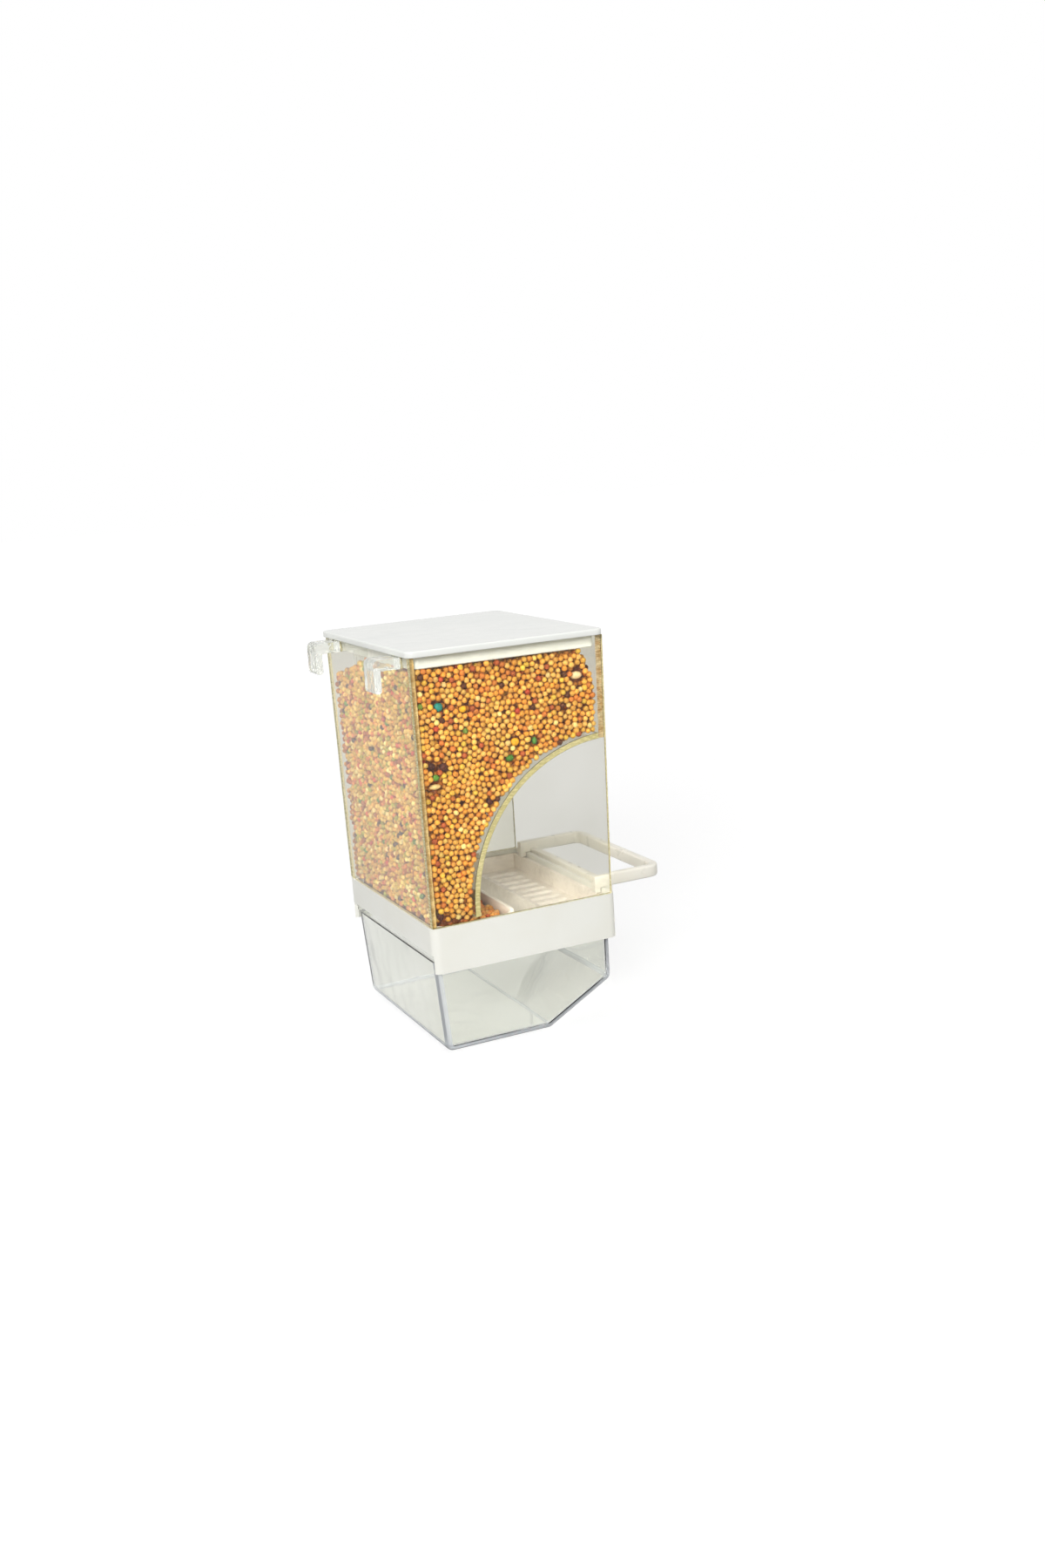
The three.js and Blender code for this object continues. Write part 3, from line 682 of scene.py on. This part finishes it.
def grain_mesh():
    """One grain: points (cos a sin b, sin a sin b, cos b) on 7 meridians and 4 rings, with its poles.
    Also its corners' places on a small map, a over 2 pi across and b over pi up."""
    meridians, rings = 7, 4
    a = np.arange(meridians) * 2 * math.pi / meridians
    b = (np.arange(1, rings + 1) * math.pi / (rings + 1))[:, None]
    ring = joined(np.cos(a) * np.sin(b), np.sin(a) * np.sin(b), np.cos(b)).reshape(-1, 3)
    points = np.concatenate([ring, [[0, 0, 1], [0, 0, -1]]])
    one = np.arange(meridians)
    two, last, pole = (one + 1) % meridians, (rings - 1) * meridians, rings * meridians
    caps = np.concatenate([joined(one, two, pole), joined(last + two, last + one, pole + 1)])
    bands = net(rings, meridians)[:, ::-1]
    across, up = np.arange(meridians) / meridians, np.arange(1, rings + 1) / (rings + 1)
    step = 1 / meridians

    def corners(*places):
        """The faces' corners on the map, each corner given as (across, up)."""
        return np.stack([joined(*place) for place in places], 1).reshape(-1, 2)

    left, low, high = np.tile(across, rings - 1), np.repeat(up[:-1], meridians), np.repeat(up[1:], meridians)
    return points, caps, bands, np.concatenate([
        corners((across, up[0]), (across + step, up[0]), (across + step / 2, 0.0)),
        corners((across + step, up[-1]), (across, up[-1]), (across + step / 2, 1.0)),
        corners((left, high), (left + step, high), (left + step, low), (left, low)),
    ])


def turned(count, draw):
    """Random turns from unit quaternions (w, x, y, z), as 3 x 3 matrices."""
    quaternions = draw.normal(size=(4, count))
    w, x, y, z = quaternions / np.linalg.norm(quaternions, axis=0)
    return np.array([
        [1 - 2 * (y * y + z * z), 2 * (x * y - z * w), 2 * (x * z + y * w)],
        [2 * (x * y + z * w), 1 - 2 * (x * x + z * z), 2 * (y * z - x * w)],
        [2 * (x * z - y * w), 2 * (y * z + x * w), 1 - 2 * (x * x + y * y)],
    ]).transpose(2, 0, 1)


# The grains' finish: each grain's colour with its painted shade, a darker cast in patches and a dull shine.
seed_finish, place = new_finish("millet_grains")
colour_and_shade = shade_node(place, "Attribute", {}, attribute_name="grain_colour_and_shade").outputs["Color"]
mottle = blotches(place, 0.9, 2)
toned = {0: 1.0, 6: colour_and_shade, 7: between(mottle, 0.82, 1.08)}
surface = {
    "Base Color": shade_node(place, "Mix", toned, data_type="RGBA", blend_type="MULTIPLY").outputs[2],
    "Roughness": between(mottle, 0.42, 0.6),
    "Normal": relief_of(blotches(place, 0.25, 2), 0.12, 0.0001),
    "IOR": 1.5,
    "Specular IOR Level": 0.2,
}
end_shader(body_of(surface))
map_margin, map_room = 0.06, 0.88  # of a grain's cell on the map: left free on each side, and used


def lay_grains(name, laid, inward, draw, special=(), mix=millet):
    """One object of grains: point = middle + turn * (half sizes * template point). laid holds the
    grains' middles with their depths, inward their direction into the heap, special larger pieces as
    (middle, half sizes, colour), and mix the grains' colours with their shares."""
    template, caps, bands, corner_map = grain_mesh()
    depth, middles, count = laid[:, 3], laid[:, :3], len(laid)
    shades = np.array([colour(*shade)[:3] for _, shade in mix])
    share = np.array([share for share, _ in mix])
    colour_and_shade = shades[draw.choice(len(mix), count, p=share / share.sum())]
    colour_and_shade = colour_and_shade * draw.uniform(0.84, 1.21, (count, 1)) * draw.uniform(0.94, 1.06, (count, 3))
    # Painted shade: the second layer and the grains near the heap's foot are darkened in their colour.
    colour_and_shade *= np.where((depth > second_layer)[:, None], under_shade, 1.0)
    colour_and_shade *= 1 - foot_shade * np.clip(1 - middles[:, 2:] / foot_height, 0, 1)
    half = grain_size * grain_shape * draw.uniform(0.9, 1.06, (count, 1))
    turn = turned(count, draw)
    if special:
        gaps = [np.linalg.norm(middles - at, axis=1) > max(size) + special_gap for at, size, _ in special]
        kept = np.all(gaps, axis=0)
        at, size, tone = zip(*special)
        middles, half = np.concatenate([middles[kept], at]), np.concatenate([half[kept], size])
        colour_and_shade = np.concatenate([colour_and_shade[kept], [colour(*shade)[:3] for shade in tone]])
        turn = np.concatenate([turn[kept], [np.eye(3)] * len(special)])
        count = len(middles)
    spread_out = np.einsum("nij,nkj->nki", turn, half[:, None, :] * template)
    points = middles[:, None, :] + spread_out
    # Painted shade: each grain is darkened on its side towards the heap, least of all in red.
    sunk = (spread_out * np.broadcast_to(inward, middles.shape)[:, None, :]).sum(-1) / grain_size
    side_shade_share = np.clip((sunk + side_start) / side_fade, 0, 1)[..., None]
    tones = np.clip(colour_and_shade[:, None, :] * (1 + side_shade_share * (side_shade - 1)), 0, 1)
    each = len(template)
    start = (np.arange(count) * each)[:, None, None]
    groups = [(start + caps).reshape(-1, 3), (start + bands).reshape(-1, 4)]
    mesh = mesh_of(name, points.reshape(-1, 3), groups)
    attribute = mesh.attributes.new("grain_colour_and_shade", "FLOAT_COLOR", "POINT")
    rgba = np.concatenate([tones, np.ones((count, each, 1))], -1)
    attribute.data.foreach_set("color", rgba.astype(np.float32).ravel())
    side = math.ceil(math.sqrt(count))
    cell = joined(np.arange(count) % side, np.arange(count) // side)[:, None, :]
    places = np.split(cell + map_margin + map_room * corner_map, [caps.size], axis=1)
    places = np.concatenate([part.reshape(-1, 2) for part in places]) / side
    uv = mesh.uv_layers.new(name="OFBake")
    uv.uv.foreach_set("vector", places.astype(np.float32).ravel())
    mesh.materials.append(seed_finish)
    grains = added(name, mesh)
    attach(grains, "feeder_body")
    return grains


def on_side(side, draw):
    """Grains against a side wall: y = side * (inner face - depth)."""
    half = inside_x(hopper_height)
    x, z, depth = two_layers(-half, half, 0, heap_top, draw)
    x, z, keep = clear_of_bend(x, z)
    keep &= (z > floor_room) & (np.abs(x) < inside_x(z) - end_room)
    x = np.clip(x, grain_room - inside_x(z), inside_x(z) - grain_room)
    y = side * (inside_y(z) - depth)
    keep &= z < heap_height(x, y) - surface_room
    return joined(x, y, z, depth)[keep]


def on_end(sign, low, draw):
    """Grains against the back wall (sign -1) or the front wall (sign 1): x = sign * (inner face - depth)."""
    half = inside_y(hopper_height)
    y, z, depth = two_layers(-half, half, low, heap_top, draw)
    x = sign * (inside_x(z) - depth)
    keep = (z > low + floor_room) & (np.abs(y) < inside_y(z) - taken_y)
    keep &= z < heap_height(x, y) - surface_room
    return joined(x, y, z, depth)[keep]


def on_top(draw):
    """Grains on top of the heap: z = heap height - depth."""
    half_x, half_y = inside_x(heap_top), inside_y(heap_top)
    x, y, depth = two_layers(-half_x, half_x, -half_y, half_y, draw)
    z = heap_height(x, y) - depth
    keep = (np.abs(x) < inside_x(z) - taken_x) & (np.abs(y) < inside_y(z) - taken_y)
    return joined(x, y, z, depth)[keep]


def on_baffle(draw):
    """Grains on the back of the baffle: radius = reach + depth about the bend's centre."""
    half, length = inside_y(hopper_height), reach * 0.5 * math.pi
    run, y, depth = two_layers(-bend_z, length, -half, half, draw)
    turn = math.pi - np.clip(run, 0, None) / reach
    x = bend_x + (reach + depth) * np.cos(turn)
    z = bend_z + (reach + depth) * np.sin(turn) + np.clip(run, None, 0)
    keep = (x < inside_x(z) - taken_x) & (np.abs(y) < inside_y(z) - taken_y) & (z > floor_room)
    return joined(x, y, z, depth)[keep]


def in_trough(draw):
    """Grains that have run out under the baffle's foot: z = surface - depth. The surface is level
    behind the foot, and falls from there to the divider."""
    back, foot, run, half = -20.5, -15.0, 10.5, 36
    level, start, fall = 0.75, 0.25, 1.1
    x, y, depth = two_layers(back, back + 16, -half, half, draw)
    surface = np.where(x > foot, start - fall * (x - foot) / run, level)
    keep = (x > back + 0.5) & (x < divider - tray_wall - 1.1) & (np.abs(y) < half - 0.8)
    return joined(x, y, surface - depth, depth)[keep]


near_wall_mix = [  # larger pieces that show against the left wall: place, half sizes, colour
    ((-24.3, -35.8, 71.6), (1.7, 1.1, 1.5), (38, 140, 128)),
    ((25.3, -35.8, 75.8), (2.5, 1.1, 1.3), (246, 222, 170)),
    ((-0.6, -36.0, 51.7), (1.6, 0.9, 1.1), (72, 128, 44)),
    ((-27.0, -36.0, 49.1), (1.3, 0.9, 1.1), (96, 150, 52)),
    ((8.6, -36.0, 56.2), (1.0, 0.9, 1.3), (84, 140, 60)),
    ((-28.2, -36.0, 52.9), (1.4, 0.9, 1.2), (72, 34, 26)),
    ((-24.0, -36.0, 52.2), (1.7, 0.9, 1.4), (82, 40, 28)),
    ((-8.7, -35.8, 38.4), (1.3, 0.9, 1.2), (80, 38, 26)),
    ((-29.0, -35.5, 3.0), (1.3, 0.9, 1.3), (78, 36, 26)),
    ((1.6, -36.0, 56.8), (1.7, 0.9, 1.4), (240, 176, 30)),
    ((-27.5, -36.0, 46.2), (2.2, 0.9, 0.9), (240, 206, 140)),
    ((-16.0, -36.0, 70.0), (1.5, 0.9, 1.2), (244, 180, 28)),
]
draw = np.random.default_rng(11)
lay_grains("grains_left", on_side(-1, draw), (0, 1, 0), draw, near_wall_mix)
lay_grains("grains_right", on_side(1, draw), (0, -1, 0), draw)
lay_grains("grains_back", on_end(-1, 0, draw), (1, 0, 0), draw, mix=shaded_hook_side_millet)
lay_grains("grains_front", on_end(1, chamber_height + second_layer, draw), (-1, 0, 0), draw)
lay_grains("grains_top", on_top(draw), (0, 0, -1), draw)
laid = on_baffle(draw)
outwards = (laid[:, :3] - [bend_x, 0, bend_z]) * [1, 0, 1]
outwards /= np.linalg.norm(outwards, axis=1)[:, None]
lay_grains("grains_baffle", laid, outwards, draw)
trough_grains = lay_grains("grains_trough", in_trough(draw), (0, 0, -1), draw, mix=lit_trough_millet)
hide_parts("seed_fill_trough")


core_inset, core_foot = 2.6, -6.0


def heap_core():
    """The heap drawn in by core_inset on every side: its XZ outline carried across, the top cut to the
    heap's height at each station."""
    low_x, wall_x = core_inset - inside_x(0), inside_x(chamber_height) - core_inset
    radius = reach + core_inset
    roof = joined(np.linspace(wall_x, low_x, 12), heap_top - core_inset)
    foot = [[low_x, core_foot], [bend_x - radius, core_foot]]
    x, z = np.concatenate([foot, bend_arc(radius, wall_x, 21), roof]).T
    stations = np.concatenate([np.linspace(-1, 0.1, 5), np.linspace(0.2, 1, 7)])
    y = stations[:, None] * (inside_y(0) - core_inset)
    return loft(joined(x, y, np.minimum(z, heap_height(x, y) - core_inset)))


# The core's dark orange-brown is painted shade, and the edges of its cells are darker still as painted
# crevice shade between grains.
core_finish, place = new_finish("heap_in_shadow")
cells = shade_node(place, "TexVoronoi", {"Vector": place, "Scale": 560.0}, feature="F1")
cell_tone = between(cells.outputs["Distance"], 1.0, 0.15, 0.1, 0.65)
surface = {
    "Base Color": tinted(cell_tone, (84, 34, 8), (180, 96, 28)),
    "Roughness": 0.6,
    "Normal": relief_of(cell_tone, 0.8, 0.0008),
}
end_shader(body_of(surface))
core = build("heap_core", [heap_core()], [core_finish])
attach(core, "feeder_body")
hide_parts("seed_fill_hopper")
# A block under the trough's grains, in the same painted shade.
fill_wall, fill_half, fill_foot, fill_top = 1.8, 36.0, -7.4, -3.2
fill = bar(trough_back + fill_wall, divider - fill_wall, -fill_half, fill_half, fill_foot, fill_top)
trough_core = build("trough_core", [fill], [core_finish])
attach(trough_core, "feeder_body")


# Lid: a glossy white moulded plate that lies on the walls, with a shallow flange that drops inside
# them and keeps it in place. Its top has sunk a little in the middle, as such thin plates do.
lid_plate, over_back, over_front, over_side, lid_corner = 2.1, 1.15, 0.15, 1.4, 3.0
flange_depth, flange_wall, lid_sink = 4.0, 1.5, 0.12
top_ease, foot_ease, flange_ease = 0.55, 0.35, 0.3


def lid_shell():
    """Rounded rectangles from the middle of the top out to the edge, round it, along the underside,
    down and up the flange, and to the middle again."""
    x0, x1 = -hopper_length / 2 - over_back, hopper_length / 2 + over_front
    y1 = hopper_width / 2 + over_side
    top, under, low = hopper_height + lid_plate, hopper_height, hopper_height - flange_depth
    middle, half_x = (x0 + x1) / 2, (x1 - x0) / 2
    rings = []
    for share in np.linspace(0.1, 0.96, 12):
        sunk = lid_sink * (0.5 + 0.5 * math.cos(math.pi * share)) ** 1.5
        across = half_x * share
        rings.append((middle - across, middle + across, y1 * share, lid_corner * share, top - sunk))
    rim = []
    for turn in np.linspace(0, math.pi / 2, 5):
        rim.append((top_ease * (1 - math.sin(turn)), top - top_ease * (1 - math.cos(turn))))
    for turn in np.linspace(0, math.pi / 2, 4):
        rim.append((foot_ease * (1 - math.cos(turn)), under + foot_ease * (1 - math.sin(turn))))
    rings += [(x0 + inset, x1 - inset, y1 - inset, lid_corner - inset, z) for inset, z in rim]
    flange_x, flange_y = inside_x(low) - play, inside_y(low) - play
    for inset, radius, z in (
        (0, 1.5, under), (0, 1.5, low + flange_ease), (flange_ease, 1.2, low),
        (flange_wall - flange_ease, 0.3, low), (flange_wall, 0.2, low + flange_ease),
        (flange_wall, 0.2, under),
    ):
        rings.append((inset - flange_x, flange_x - inset, flange_y - inset, radius, z))
    x0, x1, y, radius, z = np.array(rings).T
    return loft(rounded_loops(x0, x1, -y, y, radius, z))


gloss_white, place = new_finish("gloss_white_moulding")
clouds, film, ripple = blotches(place, 26, 3), blotches(place, 12, 5, 0.6), blotches(place, 5, 2)
hairline = shade_node(place, "Mapping", {"Vector": place, "Rotation": (0, 0, 0.5), "Scale": (0.12, 1, 1)})
hairs = blotches(hairline.outputs["Vector"], 0.45, 2)
surface = {
    "Base Color": tinted(between(clouds, 0, 1), (229, 231, 226), (234, 235, 230)),
    "Roughness": between(film, 0.1, 0.2),
    "Normal": relief_of(worked_out("ADD", ripple, hairs), 0.03, 0.0003),
    "IOR": 1.5,
}
end_shader(body_of(surface))
lid = build("lid_plate", [lid_shell()], [gloss_white], crease=40)
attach(lid, "lid")
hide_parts("lid")


# Husk drawer: one clear moulding. Its rounded edges have a painted faint blue-grey, for how the clear wall
# looks where it is seen edge-on.
# Its floor is level at the back and slopes up to the nose. A wider panel at the back closes the base's
# mouth, and a flange on each side runs on the base's rails.
drawer_low, drawer_rim, drawer_wall, drawer_edge = -44.3, -12.5, 1.6, 2.0
drawer_back_top, drawer_back_foot = -32.455, -29.855
drawer_end, drawer_kink, drawer_nose = 32.855, 8.745, -31.1
drawer_side, side_taper, inner_edge, edge_steps, tub_bends = 36.45, 0.4, 0.9, 6, (2.8, 3.2, 2.8)
panel_top, panel_half, panel_foot_half, skin_gap = -9.6, 37.8, 37.4, 0.04
panel_lean = (drawer_back_foot - drawer_back_top) / (panel_top - drawer_low)
flange_short, flange_height = 2.5, 1.5


def eased_line(corners, radii):
    """Open line through corners, each inner corner turned with a radius: points on the arc between the
    two tangent points, centre = corner + unit bisector * radius / sin(half angle)."""
    corners = np.array(corners, float)
    line = [corners[:1]]
    for before, corner, after, radius in zip(corners, corners[1:], corners[2:], radii):
        a, b = before - corner, after - corner
        a, b = a / np.linalg.norm(a), b / np.linalg.norm(b)
        half = math.acos(a @ b) / 2
        middle = corner + (a + b) / np.linalg.norm(a + b) * radius / math.sin(half)
        start, end = corner + a * radius / math.tan(half), corner + b * radius / math.tan(half)
        first = math.atan2(*(start - middle)[::-1])
        swing = (math.atan2(*(end - middle)[::-1]) - first + math.pi) % (2 * math.pi) - math.pi
        turn = first + np.linspace(0, swing, edge_steps + 1)
        line.append(middle + radius * joined(np.cos(turn), np.sin(turn)))
    line.append(corners[-1:])
    return np.concatenate(line)


def drawer_tub():
    """The XZ line of back, floor, slope and nose carried across. Near each side it is drawn in by
    edge * (1 - cos t) while y moves out by edge * sin t, which rounds the edge. The inside is the same
    line moved in by the wall, and the rim joins the two."""
    back_at_rim = drawer_back_top + panel_lean * (panel_top - drawer_rim)
    corners = [
        (back_at_rim, drawer_rim), (drawer_back_foot, drawer_low), (drawer_kink, drawer_low),
        (drawer_end, drawer_nose), (drawer_end, drawer_rim),
    ]
    line = eased_line(corners, tub_bends)
    along = np.gradient(line, axis=0)
    along /= np.linalg.norm(along, axis=1)[:, None]
    inward = joined(-along[:, 1], along[:, 0])
    inward[0], inward[-1] = (1, 0), (-1, 0)

    def skin(wall, edge):
        turn = np.linspace(math.pi / 2, 0, edge_steps + 1)
        drawn_in, half = edge * (1 - np.cos(turn)), drawer_side - wall
        out = half - edge + edge * np.sin(turn)
        across = np.concatenate([-out, [-half / 2, 0, half / 2], out[::-1]])
        inset = np.concatenate([drawn_in, [0, 0, 0], drawn_in[::-1]])
        at = line + inward * (wall + inset)[:, None, None]
        at[:, [0, -1], 1] = drawer_rim
        x, z = at[..., 0], at[..., 1]
        taper = 1 - side_taper * (drawer_rim - z) / (drawer_rim - drawer_low) / drawer_side
        return joined(x, across[:, None] * taper, z)

    outer, inner = skin(0, drawer_edge), skin(drawer_wall, inner_edge)
    rows, columns = outer.shape[:2]
    total = rows * columns
    skin_net = net(rows, columns, ring=False)
    strip, stretch = np.divmod(np.arange(len(skin_net)), columns - 1)
    rounded = (strip < edge_steps) | (strip >= rows - 1 - edge_steps) | (stretch % (edge_steps + 1) > 0)
    side_one, side_two = np.arange(columns)[None, :], (np.arange(columns) + (rows - 1) * columns)[None, :]
    step = np.arange(rows - 1)
    # The plain faces: the inner skin, the flat sides, and the rims that join the two skins
    back_rim = joined(step, step + 1, step + 1, step) * columns + [0, 0, total, total]
    near_rim = np.array([[0, columns - 1, total + columns - 1, total]])
    plain = [skin_net + total, side_one, side_two, side_one + total, side_two + total]
    plain += [back_rim, back_rim + columns - 1, near_rim, near_rim + (rows - 1) * columns]
    faces = [(skin_net[~rounded], 0), (skin_net[rounded], 1), *((part, 0) for part in plain)]
    return np.concatenate([outer.reshape(-1, 3), inner.reshape(-1, 3)]), faces


def drawer_panel():
    """Leaning plate: x = back + lean * drop, half width from the base's mouth at the top to the tub."""
    z = np.linspace(panel_top, drawer_rim + skin_gap, 3)[:, None]
    x = drawer_back_top + panel_lean * (panel_top - z) + [0, drawer_wall, drawer_wall, 0]
    y = np.linspace(panel_half, panel_foot_half, 3)[:, None] * [-1, -1, 1, 1]
    return loft(joined(x, y, z))


drawer_finish = clear_plastic(
    "clear_drawer_moulding", (250, 251, 246), (245, 246, 240), moulding_index, wave=0.12, wave_size=16,
)
# Painted: the edges' blue-grey tint and half clearness stand for the look of clear plastic seen edge-on.
drawer_edge_finish = clear_plastic(
    "clear_drawer_edges", (226, 229, 232), (215, 219, 223), moulding_index, wave=0.1, wave_size=6,
    clearness=0.5,
)
y = drawer_side + skin_gap, panel_half
flanges = bar_pair(rail_start, drawer_end - flange_short, *y, drawer_rim - flange_height, drawer_rim)
drawer = build(
    "drawer_clear", [drawer_tub(), drawer_panel(), *flanges], [drawer_finish, drawer_edge_finish],
    edge=0.3, crease=50,
)
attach(drawer, "drawer")
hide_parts("drawer")


# Studio: the feeder stands on its drawer on a pale floor, in soft light. Floor and surroundings look
# white to the camera and through the clear plastic.
floor_size, floor_gap = 8.0, 0.0001
bpy.ops.mesh.primitive_plane_add(size=floor_size, location=(0, 0, cad_low.z - floor_gap))
floor = bpy.context.object
floor.name = "studio_floor"
floor_finish, place = new_finish("pale_floor")
paint = shade_node(place, "BsdfDiffuse", {"Color": (0.35, 0.35, 0.35, 1)}).outputs["BSDF"]
path = shade_node(place, "LightPath", {}).outputs
seen_through = worked_out("MULTIPLY", path["Is Transmission Ray"], 0.72)
seen = worked_out("MAXIMUM", path["Is Camera Ray"], seen_through)
away = shade_node(place, "VectorMath", {0: place}, operation="LENGTH").outputs["Value"]
white = between(away, 0.68, 0.87, 0.2, 1.6)
glow = worked_out("MULTIPLY", seen, white)
lift = shade_node(place, "Emission", {"Color": (1, 1, 1, 1), "Strength": glow}).outputs[0]
lit = shade_node(place, "AddShader", {0: paint, 1: lift}).outputs[0]
toward = shade_node(place, "SeparateXYZ", {0: place}).outputs["Y"]
mirrored = between(toward, 0.05, 0.8, -0.16, 0.02)
image = shade_node(place, "Emission", {"Color": (1, 1, 1, 1), "Strength": mirrored}).outputs[0]
# A ray that has passed through clear plastic counts as a glossy one too, so these are taken out.
rays = path["Is Glossy Ray"], path["Is Transmission Ray"]
reflected = worked_out("SUBTRACT", *rays, use_clamp=True)
end_shader(shade_node(place, "MixShader", {0: reflected, 1: lit, 2: image}).outputs[0])
floor.data.materials.append(floor_finish)
floor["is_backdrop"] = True

world = bpy.data.worlds.new("soft_surroundings")
bpy.context.scene.world = world
world.use_nodes = True
world.node_tree.nodes.clear()
heading = shade_node(world.node_tree, "TexCoord", {}).outputs["Generated"]
toward = shade_node(heading, "SeparateXYZ", {0: heading}).outputs["Y"]
mirrored = between(toward, 0.07, 0.86, -0.5, 0.2)
path = shade_node(heading, "LightPath", {}).outputs
seen = worked_out("MAXIMUM", path["Is Camera Ray"], path["Is Transmission Ray"])
soft = shade_node(seen, "Mix", {0: path["Is Glossy Ray"], 2: 0.56, 3: mirrored}, data_type="FLOAT")
level = shade_node(seen, "Mix", {0: seen, 2: soft.outputs[0], 3: 1.0}, data_type="FLOAT")
sky = shade_node(seen, "Background", {"Color": (1, 1, 1, 1), "Strength": level.outputs[0]})
shade_node(seen, "OutputWorld", {"Surface": sky.outputs[0]})


def soft_lamp(name, place, aim, size, power):
    """Square soft box that faces aim."""
    data = bpy.data.lights.new(name, "AREA")
    data.energy, data.size = power, size
    lamp = added(name, data)
    lamp.location = place
    lamp.rotation_mode = "QUATERNION"
    lamp.rotation_quaternion = Vector(np.array(aim) - np.array(place)).to_track_quat("-Z", "Y")
    lamp.visible_camera = False


soft_lamp("key_light", (-0.7, -0.95, 0.5), (0.03, 0, -0.04), 0.5, 12.5)
soft_lamp("fill_light", (0.9, -0.6, 0.3), (0.03, 0, -0.04), 0.9, 2.0)
soft_lamp("top_light", (0.1, 0.3, 1.0), (0.03, 0, 0), 0.9, 2.0)


# Camera: where the photograph was taken, worked out from the hopper's edges. It looks from the hooks'
# side over the near wall, a little from above.
right = np.array([0.89830773, -0.43460573, -0.06450647])
down = np.array([-0.15181, -0.16924, -0.97381])
forward = np.array([0.41230717, 0.8845759, -0.21800979])
camera_data = bpy.data.cameras.new("camera")
camera_data.lens, camera_data.sensor_width, camera_data.sensor_fit = 35.95, 36.0, "AUTO"
camera_data.clip_start, camera_data.clip_end = 0.01, 100.0
camera = added("camera", camera_data)
pose = np.eye(4)
pose[:3, :3], pose[:3, 3] = np.stack([right, -down, -forward], -1), (-0.170881, -0.491255, 0.069710)
camera.matrix_world = Matrix(pose.tolist())
bpy.context.scene.camera = camera
bpy.context.scene.view_settings.view_transform = "Standard"

low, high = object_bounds()
